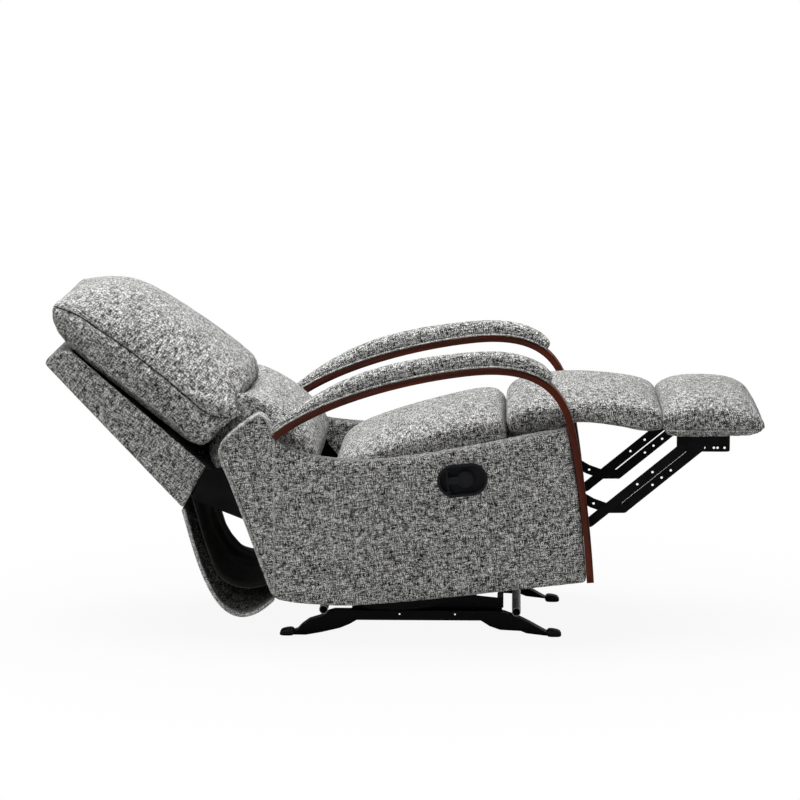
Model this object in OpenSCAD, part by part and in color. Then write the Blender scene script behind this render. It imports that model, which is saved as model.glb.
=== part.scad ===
// Rocker recliner with bentwood arms, drawn reclined with its footrest out
// and rocked back on its base. Lengths are millimetres, angles are degrees.
// X points to the footrest, Y to the sitter's left and Z up. Heights and
// places of everything above the base are those of the chair set level; the
// rocked() module then tilts them about the rocking axis.

/* [Overall] */
// Clear width between the two side panels
inner_w = 584; // [540:1:640]
// How far the chair is rocked back when it rests
rock_back = 6.7; // [2:0.1:7]
// Height of the rocking axis, on top of the base rails
rail_top_z = 60; // [52:1:70]
// Place of the rocking axis along the chair
rock_x = 40; // [20:1:60]
// Shift that puts the whole chair's middle over the origin
centre_x = 17; // [0:1:40]

/* [Base] */
// Outside width over the two base rails
base_w = 474; // [440:1:490]
// Width of a rail's top flange, on which the rocker cams roll
rail_flange_w = 34; // [26:1:38]
// Steel thickness of the base rails
rail_t = 3; // [2:0.5:5]
// Depth of the rail's web at the middle
rail_h = 22; // [16:1:30]
// Length of the level middle part of a rail
rail_mid_l = 300; // [280:1:330]
// Distance from the rocking axis to the rear foot's end
rear_reach = 310; // [280:1:340]
// Distance from the rocking axis to the front foot's end
front_reach = 337; // [300:1:370]
// Length of a foot pad
foot_l = 34; // [24:1:44]
// Height of a foot pad
foot_h = 16; // [12:1:22]
// Diameter of the galvanised cross tubes
tube_d = 20; // [16:1:24]
// Width of the flat straps that carry the rocker springs
strap_w = 44; // [40:1:56]

/* [Rocker] */
// Radius of the rocker cam's rolling edge
cam_r = 420; // [360:5:520]
// Length of the rocker cam
cam_l = 230; // [200:1:260]
// Height of the rocker cam
cam_h = 50; // [44:1:56]
// Outside diameter of a rocker spring
spring_d = 34; // [28:1:36]
// Wire diameter of a rocker spring
spring_wire = 4.5; // [3.5:0.1:5]
// Turns of a rocker spring
spring_turns = 5; // [4:1:6]

/* [Side panels] */
// Thickness of an upholstered side panel
panel_t = 58; // [50:1:64]
// Length of a side panel
panel_l = 789; // [760:1:820]
// Height of a side panel to the top of its rear ear
panel_h = 466; // [440:1:490]
// Place of a panel's front edge
panel_front_x = 438; // [430:1:446]
// Height of a panel's lower edge
panel_z = 100; // [94:1:106]
// Softness of a panel's padded edges
panel_edge = 7; // [4:1:10]

/* [Bentwood arms] */
// Width of the bent arm strip
arm_w = 62; // [50:1:66]
// Thickness of the bent arm strip
arm_t = 16; // [14:1:20]
// Distance of the arm's rear end from the panel's rear edge
arm_start = 132; // [110:1:150]
// Height of the arm above the leg's lower end
arm_h = 495; // [470:1:520]
// Thickness of the arm's padding
arm_pad_t = 35; // [28:1:44]

/* [Back] */
// Lean of the inner back from upright, reclined
back_lean = 44.4; // [38:0.1:48]
// Length of the outer back shell
shell_l = 428; // [390:1:440]
// Depth of the outer back shell at its lower end
shell_deep = 108; // [96:1:120]
// Wall of the outer back shell
shell_wall = 14; // [10:1:18]
// Length of the head pillow
pillow_l = 486; // [460:1:500]
// Thickness of the head pillow
pillow_t = 214; // [190:1:222]
// Length of the lumbar cushion
lumbar_l = 258; // [230:1:262]
// Thickness of the lumbar cushion
lumbar_t = 209; // [190:1:216]

/* [Seat] */
// Length of the seat cushion
seat_l = 411; // [380:1:415]
// Thickness of the seat cushion
seat_h = 106; // [90:1:112]
// Length of the chaise pad that bridges to the footrest
chaise_l = 345; // [330:1:350]
// Height taken by the chaise pad
chaise_h = 119; // [108:1:124]

/* [Footrest] */
// Length of the footrest pad
foot_pad_l = 232; // [220:1:246]
// Thickness of the footrest pad
foot_pad_t = 90; // [80:1:96]
// Length of the footrest's side bracket
bracket_l = 120; // [110:1:130]
// Height of the footrest's side bracket
bracket_h = 37; // [32:1:40]
// Thickness of the footrest board
board_t = 12; // [9:1:15]

/* [Linkage] */
// Thickness of the links and mechanism plates
plate_t = 3; // [2:0.5:3.5]
// Width of a link
link_w = 22; // [18:1:24]
// Diameter of a pivot rivet's shank
pivot_d = 8; // [6:0.5:9]
// Distance between a link's two outer pivots
outer_link_l = 220; // [210:1:226]
// Distance between the two outer links' pivots on the inner link
pair_gap = 38; // [36:1:42]
// Distance that the upper outer link runs on behind its crossing pivot
tail_l = 50; // [46:1:56]

/* [Release handle] */
// Length of the oval handle cup
cup_l = 113; // [100:1:120]
// Height of the oval handle cup
cup_h = 74; // [66:1:80]
// Depth of the handle cup in the panel
cup_deep = 26; // [22:1:30]

/* [Hidden] */

// Running clearance between faces that pass or seat
gap = 0.3;
// How far cuts run past the faces that they open
over = 1;
// Facets of round bores and pins
round_fn = 40;
// Points on each soft corner of an outline
corner_n = 4;
fabric = "#8f8f8d";
fabric_light = "#a9a9a7";
mahogany = "#5a2410";
black_steel = "#141416";
zinc = "#9a9c9e";
birch = "#c8a878";
lining = "#2a2a2c";

half_in = inner_w / 2;
panel_rear_x = panel_front_x - panel_l;
half_out = half_in + panel_t;

// Layers of the flat links, counted outwards from the seat plate
layer_pitch = plate_t + gap;
seat_plate_y = 251;
layer_lower = 1;
layer_inner = 2;
layer_upper = 3;
layer_tail = 4;
mech_plate_y = half_in - gap - plate_t;
back_bracket_y = mech_plate_y - gap - plate_t;
head_t = 2.2;
boss_d = pivot_d + 2 * plate_t;

// Functions for curves and outlines
function mix(a, b, t) = a + (b - a) * t;
function left_of(d) = [-d[1], d[0]];
function unit(d) = d / norm(d);
function polar(l, a) = [l * cos(a), l * sin(a)];
function spin(p, a) = [p[0] * cos(a) - p[1] * sin(a), p[0] * sin(a) + p[1] * cos(a)];
function bezier(p, t) =
    mix(mix(mix(p[0], p[1], t), mix(p[1], p[2], t), t), mix(mix(p[1], p[2], t), mix(p[2], p[3], t), t), t);
function soft_corner(a, b, c, share, n) =
    share == 0 ? [b] :
    [for (i = [0:n - 1])
        let (t = (i + 0.5) / n, p = mix(b, a, share), q = mix(b, c, share))
        mix(mix(p, b, t), mix(b, q, t), t)];
// Rows of [length share, height share, corner share, side shift shares] as [x, z, corner share];
// side is 0 at the piece's middle and 1 at its side face
function sized(rows, at, l, h, side = 0) =
    [for (r = rows) [
        at[0] + (r[0] + (len(r) > 3 ? r[3] * side : 0)) * l,
        at[1] + (r[1] + (len(r) > 3 ? r[4] * side : 0)) * h, r[2]]];
function flat(p) = [p[0], p[1]];
function softened(rows, n = corner_n) =
    let (m = len(rows))
    [for (i = [0:m - 1])
        each soft_corner(flat(rows[(i + m - 1) % m]), flat(rows[i]), flat(rows[(i + 1) % m]), rows[i][2], n)];
function outline(rows, at, l, h) = softened(sized(rows, at, l, h));
function inset(p, d) =
    let (m = len(p))
    [for (i = [0:m - 1]) p[i] + left_of(unit(p[(i + 1) % m] - p[(i + m - 1) % m])) * d];

// Solid through outlines that stand at places along Y; a strip's outlines run
// along one of its faces and back along the other, and its ends are ladders
module loft(rings, ys, strip = false) {
    n = len(rings[0]);
    m = len(rings);
    ladder = [for (i = [0:n / 2 - 2]) [i, i + 1, n - 2 - i, n - 1 - i]];
    polyhedron(
        [for (j = [0:m - 1]) for (p = rings[j]) [p[0], ys[j], p[1]]],
        concat(
            [for (j = [0:m - 2]) for (i = [0:n - 1]) let (k = (i + 1) % n)
                each [[j * n + i, j * n + k, (j + 1) * n + k], [j * n + i, (j + 1) * n + k, (j + 1) * n + i]]],
            strip ? [for (rung = ladder) reversed(rung)] : [[for (i = [n - 1:-1:0]) i]],
            strip ? [for (rung = ladder) [for (i = rung) (m - 1) * n + i]] : [[for (i = [0:n - 1]) (m - 1) * n + i]]
        )
    );
}

// Crowned cushion: its outline passes into its side shape towards both side faces
width_shares = [-1, -0.97, -0.9, -0.76, -0.5, 0, 0.5, 0.76, 0.9, 0.97, 1];
module cushion(rows, at, l, h, half_w, power = 3.6) {
    loft([for (s = width_shares) softened(sized(rows, at, l, h, pow(abs(s), power)))],
        [for (s = width_shares) s * half_w]);
}

// Padded panel between two places along Y, with softened edges
edge_shares = [[0, 1], [0.06, 0.35], [0.16, 0], [0.84, 0], [0.94, 0.35], [1, 1]];
module padded_panel(p, y0, t, soft) {
    loft([for (e = edge_shares) inset(p, soft * e[1])], [for (e = edge_shares) y0 + e[0] * t]);
}

// Flat plate along XZ from y to y + t
module plate(y, t) {
    translate([0, y + t, 0]) rotate([90, 0, 0]) linear_extrude(t) children();
}

// Pin along Y from y to y + t
module pin(at, d, y, t) {
    translate([at[0], y + t, at[1]]) rotate([90, 0, 0]) cylinder(h = t, d = d, $fn = round_fn);
}

// Flat bar through points: mitred at its knees and round at its ends
function knee_offset(a, b, c, h) =
    let (u = unit(b - a), s = unit(u + unit(c - b))) left_of(s) * h / (s * u);
function bar_end(p, q, h, n) = let (a = atan2(q[1] - p[1], q[0] - p[0]))
    [for (k = [0:n]) q + polar(h, a - 90 + 180 * k / n)];
function bar_knees(pts, h) = len(pts) < 3 ? [] :
    [for (i = [1:len(pts) - 2]) pts[i] - knee_offset(pts[i - 1], pts[i], pts[i + 1], h)];
function reversed(p) = [for (i = [len(p) - 1:-1:0]) p[i]];
bar_end_n = 12;
module bar2d(pts, w, n = bar_end_n) {
    m = len(pts);
    polygon(concat(
        bar_knees(pts, w / 2), bar_end(pts[m - 2], pts[m - 1], w / 2, n),
        bar_knees(reversed(pts), w / 2), bar_end(pts[1], pts[0], w / 2, n)
    ));
}

// A piece's mirror image on the chair's other side
module on_side(side) {
    if (side < 0) children();
    else mirror([0, 1, 0]) children();
}

module centred() { translate([-centre_x, 0, 0]) children(); }

// Tilts the level chair back about the rocking axis
module rocked() {
    centred()
        translate([rock_x, 0, rail_top_z]) rotate([0, -rock_back, 0]) translate([-rock_x, 0, -rail_top_z])
            children();
}

// Base: two bent rails on feet, cam guides, two tubes and two spring straps
base_y = -base_w / 2;
rail_low_share = 1 - rail_h / rail_top_z;
// Rows of [share of the reach to that end, share of the rail's height]
rail_under_shares = [
    [-0.89, 0.05], [-0.80, 0.05], [-0.69, 0.15], [-0.55, 0.32], [-0.48, 0.47], [-0.425, rail_low_share],
    [0.45, rail_low_share], [0.51, 0.42], [0.58, 0.28], [0.72, 0.24], [0.76, 0.15], [0.896, 0.06]
];
rail_over_shares = [
    [0.896, 0.19], [0.875, 0.25], [0.78, 0.55], [0.715, 0.73], [0.61, 0.94], [0.56, 1], [-0.59, 1],
    [-0.63, 0.94], [-0.70, 0.74], [-0.776, 0.62], [-0.83, 0.42], [-0.865, 0.23], [-0.89, 0.19]
];
function on_rail(rows) =
    [for (r = rows) [rock_x + r[0] * (r[0] < 0 ? rear_reach : front_reach), r[1] * rail_top_z]];
rail_over = on_rail(rail_over_shares);
rear_x = rock_x - rear_reach;
front_x = rock_x + front_reach;

module rail_web2d() { polygon(concat(on_rail(rail_under_shares), rail_over)); }

module rail_flange2d() {
    polygon(concat(rail_over, [for (i = [len(rail_over) - 1:-1:0]) rail_over[i] - [0, rail_t]]));
}

rail_hole_d = 7;
rail_dot_d = 4;
rail_dot_shares = [-0.113, 0.309];
module base_rail(side) {
    color(black_steel) centred() on_side(side) difference() {
        union() {
            plate(base_y, rail_t) rail_web2d();
            plate(base_y, rail_flange_w) rail_flange2d();
        }
        for (s = rail_dot_shares)
            pin([rock_x + s * rail_mid_l, rail_top_z * (1 + rail_low_share) / 2 + rail_t], rail_dot_d,
                base_y - over, rail_t + 2 * over);
    }
}

// A foot caps the rail's end and reaches under it with a short sole
module foot_pad(x, dir) {
    rim = foot_h / 8;
    sole = rail_top_z * 0.05 - gap;
    translate([x, base_y, 0]) {
        translate([-foot_l / 2, 0, rim]) cube([foot_l, rail_flange_w, foot_h - rim]);
        translate([-foot_l / 2 + rim, rim, 0]) cube([foot_l - 2 * rim, rail_flange_w - 2 * rim, rim]);
        translate([dir < 0 ? foot_l / 2 - rim : -foot_l, rail_t, 0])
            cube([foot_l / 2 + rim, rail_flange_w - 2 * rail_t, sole]);
    }
}

module base_feet() {
    color(black_steel) centred() for (side = [-1, 1]) on_side(side) {
        foot_pad(rear_x + foot_l / 2 - gap, -1);
        foot_pad(front_x - foot_l / 2 + gap, 1);
    }
}

// The tubes lie on the sloping ends of the rails, between their webs
tube_wall = 1.5;
tube_front_share = 0.69;
tube_rear_share = -0.67;
tube_half = -base_y - rail_t;
tube_front_slope = rail_over[4] - rail_over[3];
tube_rear_slope = rail_over[8] - rail_over[7];
tube_front_x = rock_x + tube_front_share * front_reach;
tube_rear_x = rock_x + tube_rear_share * rear_reach;
// Height of a tube's middle that leaves it the gap over a slope through a point
function tube_z(x, p, slope) =
    p[1] + (x - p[0]) * slope[1] / slope[0] + (tube_d / 2 + gap) * norm(slope) / abs(slope[0]);

module cross_tube(x, z) {
    color(zinc) centred() difference() {
        pin([x, z], tube_d, -tube_half, 2 * tube_half);
        pin([x, z], tube_d - 2 * tube_wall, -tube_half - over, 2 * (tube_half + over));
    }
}
module cross_tube_front() { cross_tube(tube_front_x, tube_z(tube_front_x, rail_over[3], tube_front_slope)); }
module cross_tube_rear() { cross_tube(tube_rear_x, tube_z(tube_rear_x, rail_over[8], tube_rear_slope)); }

// Chassis cross members sit over the straps; the springs stand between them
member_w = 30;
member_h = 26;
member_z = rail_top_z + cam_h;
member_reach = 118;
member_front_x = rock_x + member_reach;
member_rear_x = rock_x - member_reach;
guide_y = base_y + rail_flange_w + gap;
strap_half = -guide_y - rail_t - gap;
spring_y = 176;
hollow_share = 0.6;

module spring_strap(x) {
    color(black_steel) centred() difference() {
        translate([x - strap_w / 2, -strap_half, rail_top_z - rail_t]) cube([strap_w, 2 * strap_half, rail_t]);
        for (side = [-1, 1]) translate([x, side * spring_y, rail_top_z - rail_t - over])
            cylinder(h = rail_t + 2 * over, d = rail_hole_d, $fn = round_fn);
    }
}

// Upright plates inside the rails that keep the cams on the flanges
guide_foot = rail_top_z - rail_t;
// Rows of [share of the rail's level length, share of the cam's height over the plate's foot]
guide_shares = [[-0.48, 0], [0.667, 0], [0.667, 0.54], [0.453, 0.67], [-0.48, 0.14]];
module cam_guides() {
    color(black_steel) centred() for (side = [-1, 1]) on_side(side) plate(guide_y, rail_t)
        polygon([for (r = guide_shares) [rock_x + r[0] * rail_mid_l, guide_foot + r[1] * cam_h]]);
}

module spring_strap_front() { spring_strap(member_front_x); }
module spring_strap_rear() { spring_strap(member_rear_x); }

// Height of a cross member's underside above the base when rocked back
function under_member(x) = rail_top_z + (x - rock_x) * sin(rock_back) + cam_h * cos(rock_back);
function shifted_back(x) = rock_x + (x - rock_x) * cos(rock_back) - cam_h * sin(rock_back);
turn_steps = 8;
wire_sides = 6;
spring_low = rail_top_z + gap + spring_wire / 2;
function spring_high(x) =
    under_member(x) - gap - spring_d / 2 * sin(rock_back) - spring_wire / 2;
// Least gap between the turns of the lower spring, along its middle line
function spring_line(x) = let (steps = spring_turns * turn_steps, r = (spring_d - spring_wire) / 2)
    [for (i = [0:steps]) let (a = i * 360 / turn_steps, t = i / steps)
        [r * cos(a) + (shifted_back(x) - x) * t, r * sin(a), mix(spring_low, spring_high(x), t)]];
function least_turn_gap(line) = min(
    [for (i = [0:len(line) - 1]) for (j = [0:len(line) - 1]) if (j - i >= turn_steps * 3 / 4)
        norm(line[i] - line[j])]) - spring_wire;
echo(spring_least_gap_mm = least_turn_gap(spring_line(member_rear_x)));

module spring(x) {
    low = spring_low;
    high = spring_high(x);
    drift = shifted_back(x) - x;
    r = (spring_d - spring_wire) / 2;
    steps = spring_turns * turn_steps;
    translate([x, -spring_y, 0]) polyhedron(
        [for (i = [0:steps]) let (a = i * 360 / turn_steps, t = i / steps)
            for (k = [0:wire_sides - 1]) let (b = k * 360 / wire_sides)
                [(r + spring_wire / 2 * cos(b)) * cos(a) + drift * t,
                 (r + spring_wire / 2 * cos(b)) * sin(a), mix(low, high, t) + spring_wire / 2 * sin(b)]],
        concat(
            [for (i = [0:steps - 1]) for (k = [0:wire_sides - 1]) let (n = wire_sides, q = (k + 1) % n)
                each [[i * n + k, (i + 1) * n + q, i * n + q], [i * n + k, (i + 1) * n + k, (i + 1) * n + q]]],
            [[for (k = [0:wire_sides - 1]) k],
             [for (k = [wire_sides - 1:-1:0]) steps * wire_sides + k]]
        )
    );
}
module rocker_springs(side) {
    color(zinc) centred() on_side(side) {
        spring(member_front_x);
        spring(member_rear_x);
    }
}

// The cam's edge clears the rail by the gap at both ends of the rocking
cam_lift = (gap + cam_r * (1 - cos(rock_back))) / cos(rock_back);
module rocker_cam(side) {
    color(black_steel) rocked() on_side(side) {
        plate(base_y + rail_t + gap, rail_flange_w - rail_t - 2 * gap) intersection() {
            translate([rock_x, rail_top_z + cam_lift + cam_r]) circle(r = cam_r, $fn = 180);
            translate([rock_x - cam_l / 2, rail_top_z]) square([cam_l, cam_h - gap]);
        }
    }
}

module cross_member(x) {
    half = mech_plate_y - gap;
    color(black_steel) rocked() translate([x, -half, member_z]) difference() {
        translate([-member_w / 2, 0, 0]) cube([member_w, 2 * half, member_h]);
        translate([-member_w / 2 + plate_t, -over, plate_t])
            cube([member_w + over, 2 * (half + over), member_h]);
    }
}
module cross_member_front() { cross_member(member_front_x); }
module cross_member_rear() { cross_member(member_rear_x); }

// Pivots of the mechanism, as [x, z] on the level chair
back_pivot = [-165, 392];
seat_pivot = [-150, 300];
inner_pivot = [340, 360];
tail_pivot = [297, 316.5];
cross_pivot = [502, 250];
outer_angle = 32.6;
pair_angle = -6;
u_outer = polar(1, outer_angle);
pair_pivot = cross_pivot + polar(pair_gap, pair_angle);
tail_end = cross_pivot - u_outer * tail_l;
foot_pivot = cross_pivot + u_outer * outer_link_l;
foot_pair_pivot = pair_pivot + u_outer * outer_link_l;
knee_back = 32;
knee_rise = 16;
knee = cross_pivot + [-knee_back, knee_rise];

plate_foot_l = 300;
plate_foot_z = member_z + member_h;
module mechanism_plate(side) {
    color(black_steel) rocked() on_side(side) {
        difference() {
            union() {
                plate(-mech_plate_y - plate_t, plate_t) {
                    polygon([
                        [member_rear_x - member_w, member_z], [member_front_x + member_w, member_z],
                        [member_front_x + member_w, plate_foot_z + link_w],
                        [seat_pivot[0] + 3 * link_w, seat_pivot[1]],
                        [back_pivot[0] + link_w, back_pivot[1]], [back_pivot[0] - link_w, back_pivot[1]],
                        [seat_pivot[0] - 2 * link_w, seat_pivot[1] - 2 * link_w],
                        [member_rear_x - member_w, plate_foot_z + link_w]
                    ]);
                    translate(back_pivot) circle(r = link_w, $fn = round_fn);
                }
            }
            for (x = [member_rear_x, rock_x, member_front_x])
                pin([x, plate_foot_z + link_w / 2], pivot_d, -mech_plate_y - plate_t - over, plate_t + 2 * over);
        }
        // Pivot pins for the back bracket and the seat plate
        pin(back_pivot, pivot_d, -mech_plate_y, mech_plate_y - back_bracket_y + gap + head_t);
        pin(back_pivot, boss_d, -back_bracket_y + gap, head_t);
        pin(seat_pivot, pivot_d, -mech_plate_y, mech_plate_y - seat_plate_y + gap + head_t);
        pin(seat_pivot, boss_d, -seat_plate_y + gap, head_t);
        pin(seat_pivot, boss_d, -mech_plate_y, mech_plate_y - seat_plate_y - plate_t - gap);
    }
}

// Bent arm: rows of control points, as shares of the arm's length and height
arm_rear_x = panel_rear_x + arm_start;
arm_l = panel_l - arm_start;
arm_z = panel_z + gap;
arm_curve_shares = [
    [[0, 0.806], [0.143, 0.927], [0.425, 1], [0.676, 1]],
    [[0.676, 1], [0.836, 1], [0.96, 0.948], [0.988, 0.754]],
    [[0.988, 0.754], [1.005, 0.62], [1.014, 0.36], [1, 0]]
];
arm_steps = 9;
function arm_point(row, t) = let (p = bezier(arm_curve_shares[row], t))
    [arm_rear_x + p[0] * arm_l, arm_z + p[1] * arm_h];
arm_inner = [for (row = [0:2]) for (i = [0:arm_steps - (row < 2 ? 1 : 0)]) arm_point(row, i / arm_steps)];
function along(p, i) = let (m = len(p)) unit(p[min(i + 1, m - 1)] - p[max(i - 1, 0)]);
arm_outer = [for (i = [0:len(arm_inner) - 1]) arm_inner[i] + left_of(along(arm_inner, i)) * arm_t];
// Side panel outline: rounded lower rear corner, the leg's curve, scooped top edge and rear ear
panel_low_shares = [[0.096, 0.14, 0.35], [0.11, 0.084, 0.3], [0.18, 0.05, 0.4], [0.32, 0.01, 0.4], [0.55, 0, 0.3]];
panel_top_shares = [
    [0.9, 0.745, 0.3], [0.78, 0.724, 0.4], [0.6, 0.705, 0.4], [0.458, 0.7, 0.4], [0.373, 0.714, 0.4],
    [0.261, 0.757, 0.4], [0.207, 0.8, 0.4], [0.17, 0.86, 0.4], [0.155, 0.955, 0.35], [0.136, 1, 0.4],
    [0.112, 0.99, 0.4], [0.06, 0.94, 0.3], [0.01, 0.88, 0.4], [-0.002, 0.83, 0.4], [0.004, 0.77, 0.4],
    [0.018, 0.7, 0.4], [0.062, 0.39, 0.3]
];
panel_at = [panel_rear_x, panel_z];
panel_corner_z = panel_z + panel_h * 0.76;
panel_outline = softened(concat(
    sized(panel_low_shares, panel_at, panel_l, panel_h),
    [for (p = reversed(arm_inner)) if (p[0] > panel_front_x - panel_l / 10 && p[1] < panel_corner_z)
        [p[0] - gap, p[1], 0]],
    sized(panel_top_shares, panel_at, panel_l, panel_h)
));

// The arm's rear end and its pad stand in a notch behind the ear's front edge
arm_seat_n = 8;
arm_seat = concat(
    [for (i = [0:arm_seat_n]) arm_inner[i] - (left_of(along(arm_inner, i)) + (i == 0 ? 1 : 0) * along(arm_inner, i)) * gap],
    [for (i = [arm_seat_n:-1:0]) arm_outer[i] + left_of(along(arm_inner, i)) * arm_pad_t
        - (i == 0 ? 1 : 0) * along(arm_inner, i) * gap]
);
cup_at = [187, 364];
cup_tilt = -0.5;
cup_rim = 3;
cup_wall = 2.5;
module stadium(l, h) {
    for (s = [-1, 1]) translate([s * (l - h) / 2, 0]) circle(d = h, $fn = round_fn * 2);
    square([l - h, h], center = true);
}
module in_cup() { translate(cup_at) rotate(cup_tilt) children(); }

module side_panel(side) {
    color(fabric) rocked() on_side(side) difference() {
        padded_panel(panel_outline, -half_out, panel_t, panel_edge);
        plate(-half_out - over, panel_t + 2 * over) polygon(arm_seat);
        if (side < 0) plate(-half_out - over, cup_deep + over)
            in_cup() stadium(cup_l - 2 * cup_rim + 2 * gap, cup_h - 2 * cup_rim + 2 * gap);
        if (side < 0) pin(cup_at, cable_bore_d, -half_out, panel_t + over);
    }
}

arm_y = -half_in - (panel_t + arm_w) / 2;
leg_screw_d = 5;

module arm_wood(side) {
    color(mahogany) rocked() on_side(side) difference() {
        plate(arm_y, arm_w) polygon(concat(arm_outer, reversed(arm_inner)));
        translate([panel_front_x - over, arm_y + arm_w / 2, panel_z + arm_t * 2]) rotate([0, 90, 0])
            cylinder(h = arm_t * 2 + 2 * over, d = leg_screw_d, $fn = round_fn);
    }
}

// Arm padding, lofted along the top of the strip
pad_last = 2 * arm_steps - 3;
pad_rise_shares = [0.2, 0.36, 0.52, 0.7, 0.88, 0.98, 1, 0.97, 0.92, 0.89, 0.89, 0.89, 0.86, 0.8, 0.69, 0.43];
pad_section_shares = [
    [-0.5, 0], [-0.52, 0.34], [-0.46, 0.68], [-0.3, 0.92], [0, 1],
    [0.3, 0.92], [0.46, 0.68], [0.52, 0.34], [0.5, 0]
];
module arm_pad(side) {
    n = len(pad_section_shares);
    color(fabric_light) rocked() on_side(side) polyhedron(
        [for (i = [0:pad_last]) let (h = arm_pad_t * pad_rise_shares[i], up = left_of(along(arm_outer, i)))
            for (s = pad_section_shares) let (q = arm_outer[i] + up * (gap + s[1] * h))
                [q[0], arm_y + arm_w * (0.5 + s[0]), q[1]]],
        concat(
            [for (i = [0:pad_last - 1]) for (k = [0:n - 1]) let (q = (k + 1) % n)
                each [[i * n + k, i * n + q, (i + 1) * n + q], [i * n + k, (i + 1) * n + q, (i + 1) * n + k]]],
            [[for (k = [n - 1:-1:0]) k], [for (k = [0:n - 1]) pad_last * n + k]]
        )
    );
}

// Wooden rails: one between the mechanism plates, ahead of the steel cross
// member and behind the space that the folding links sweep, and one low at
// the rear between the panels
cross_rail_t = 20;
cross_rail_h = 42;
front_rail_x = member_front_x + member_w / 2 + gap;
rear_rail_x = panel_rear_x + panel_l * 0.118;
rear_rail_z = panel_z + panel_h * 0.086;
module cross_rail(x, z, half) {
    color(birch) rocked() translate([x, -half, z]) cube([cross_rail_t, 2 * half, cross_rail_h]);
}
module front_rail() { cross_rail(front_rail_x, member_z, mech_plate_y - gap); }
module rear_rail() { cross_rail(rear_rail_x, rear_rail_z, half_in - gap); }

// Handle cup: moulded oval cup with a rim on the panel's face
cup_y = -half_out;
lever_hinge_x = -0.3;
lever_l = 0.46;
lever_h = 0.3;
lever_t = 5;
hinge_d = 6;
module handle_cup() {
    color(black_steel) rocked() {
        difference() {
            union() {
                plate(cup_y - cup_rim, cup_rim - gap) in_cup() stadium(cup_l, cup_h);
                plate(cup_y - gap, cup_deep) in_cup() stadium(cup_l - 2 * cup_rim, cup_h - 2 * cup_rim);
            }
            plate(cup_y - cup_rim - over, cup_deep - cup_wall + cup_rim - gap + over) in_cup()
                stadium(cup_l - 2 * cup_rim - 2 * cup_wall, cup_h - 2 * cup_rim - 2 * cup_wall);
        }
        // Ears that hold the lever's hinge pin
        for (s = [-1, 1]) hinge_ear(s);
    }
}
lever_half = cup_h * lever_h;
ear_t = 4;
ear_y = cup_y + lever_t;
module hinge_ear(s) {
    translate([cup_at[0] + cup_l * lever_hinge_x, ear_y, cup_at[1] + s * (lever_half + gap + ear_t / 2)])
        difference() {
            translate([-hinge_d, -hinge_d, -ear_t / 2])
                cube([2 * hinge_d, cup_deep - cup_wall - lever_t + hinge_d, ear_t]);
            translate([0, 0, -ear_t / 2 - over])
                cylinder(h = ear_t + 2 * over, d = hinge_d + 2 * gap, $fn = round_fn);
        }
}

// Lever: a paddle on a short upright pin, hooked behind for the cable
module release_lever() {
    reach = cup_l * lever_l;
    color(black_steel) rocked()
        translate([cup_at[0] + cup_l * lever_hinge_x, ear_y, cup_at[1]]) {
            translate([0, 0, -lever_half - ear_t * 0.8])
                cylinder(h = 2 * (lever_half + ear_t * 0.8), d = hinge_d, $fn = round_fn);
            difference() {
                union() {
                    translate([0, -lever_t / 2, -lever_half / 2]) cube([reach * 0.3, lever_t, lever_half]);
                    translate([reach * 0.3, -lever_t / 2, -lever_half]) cube([reach * 0.7, lever_t, 2 * lever_half]);
                    translate([-hinge_d / 2, -lever_t / 2, -lever_half]) cube([hinge_d, lever_t, 2 * lever_half]);
                }
                translate([reach * 0.42, -lever_t / 2 - over, -lever_half * 0.6])
                    cube([reach * 0.14, lever_t / 2 + over, lever_half * 1.2]);
            }
        }
}

// Release cable: through the panel behind the cup and down to a clamp on the mechanism plate
cable_d = 5;
cable_bore_d = cable_d + 2 * gap;
cable_y = -mech_plate_y + gap;
cable_shares = [
    [0, 0], [-0.18, -0.06], [-0.38, -0.16], [-0.57, -0.32], [-0.69, -0.5], [-0.74, -0.72], [-0.72, -1]
];
cable_drop = 190;
module release_cable() {
    route = [for (s = cable_shares) cup_at + s * cable_drop];
    color(black_steel) rocked() on_side(-1) {
        plate(cable_y, cable_d) bar2d(route, cable_d);
        pin(cup_at, cable_d - gap, -half_out + cup_deep, half_out - cup_deep + cable_y + cable_d / 2);
    }
}

// Bolts that clamp the mechanism plates to the panels
bolt_head_d = 14;
module panel_bolts() {
    color(zinc) rocked() for (side = [-1, 1]) on_side(side)
        for (x = [member_rear_x, rock_x, member_front_x]) {
            pin([x, plate_foot_z + link_w / 2], bolt_head_d, -mech_plate_y + gap, head_t * 2);
            pin([x, plate_foot_z + link_w / 2], pivot_d - 2 * gap, -mech_plate_y - plate_t, plate_t + gap);
        }
}

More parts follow.
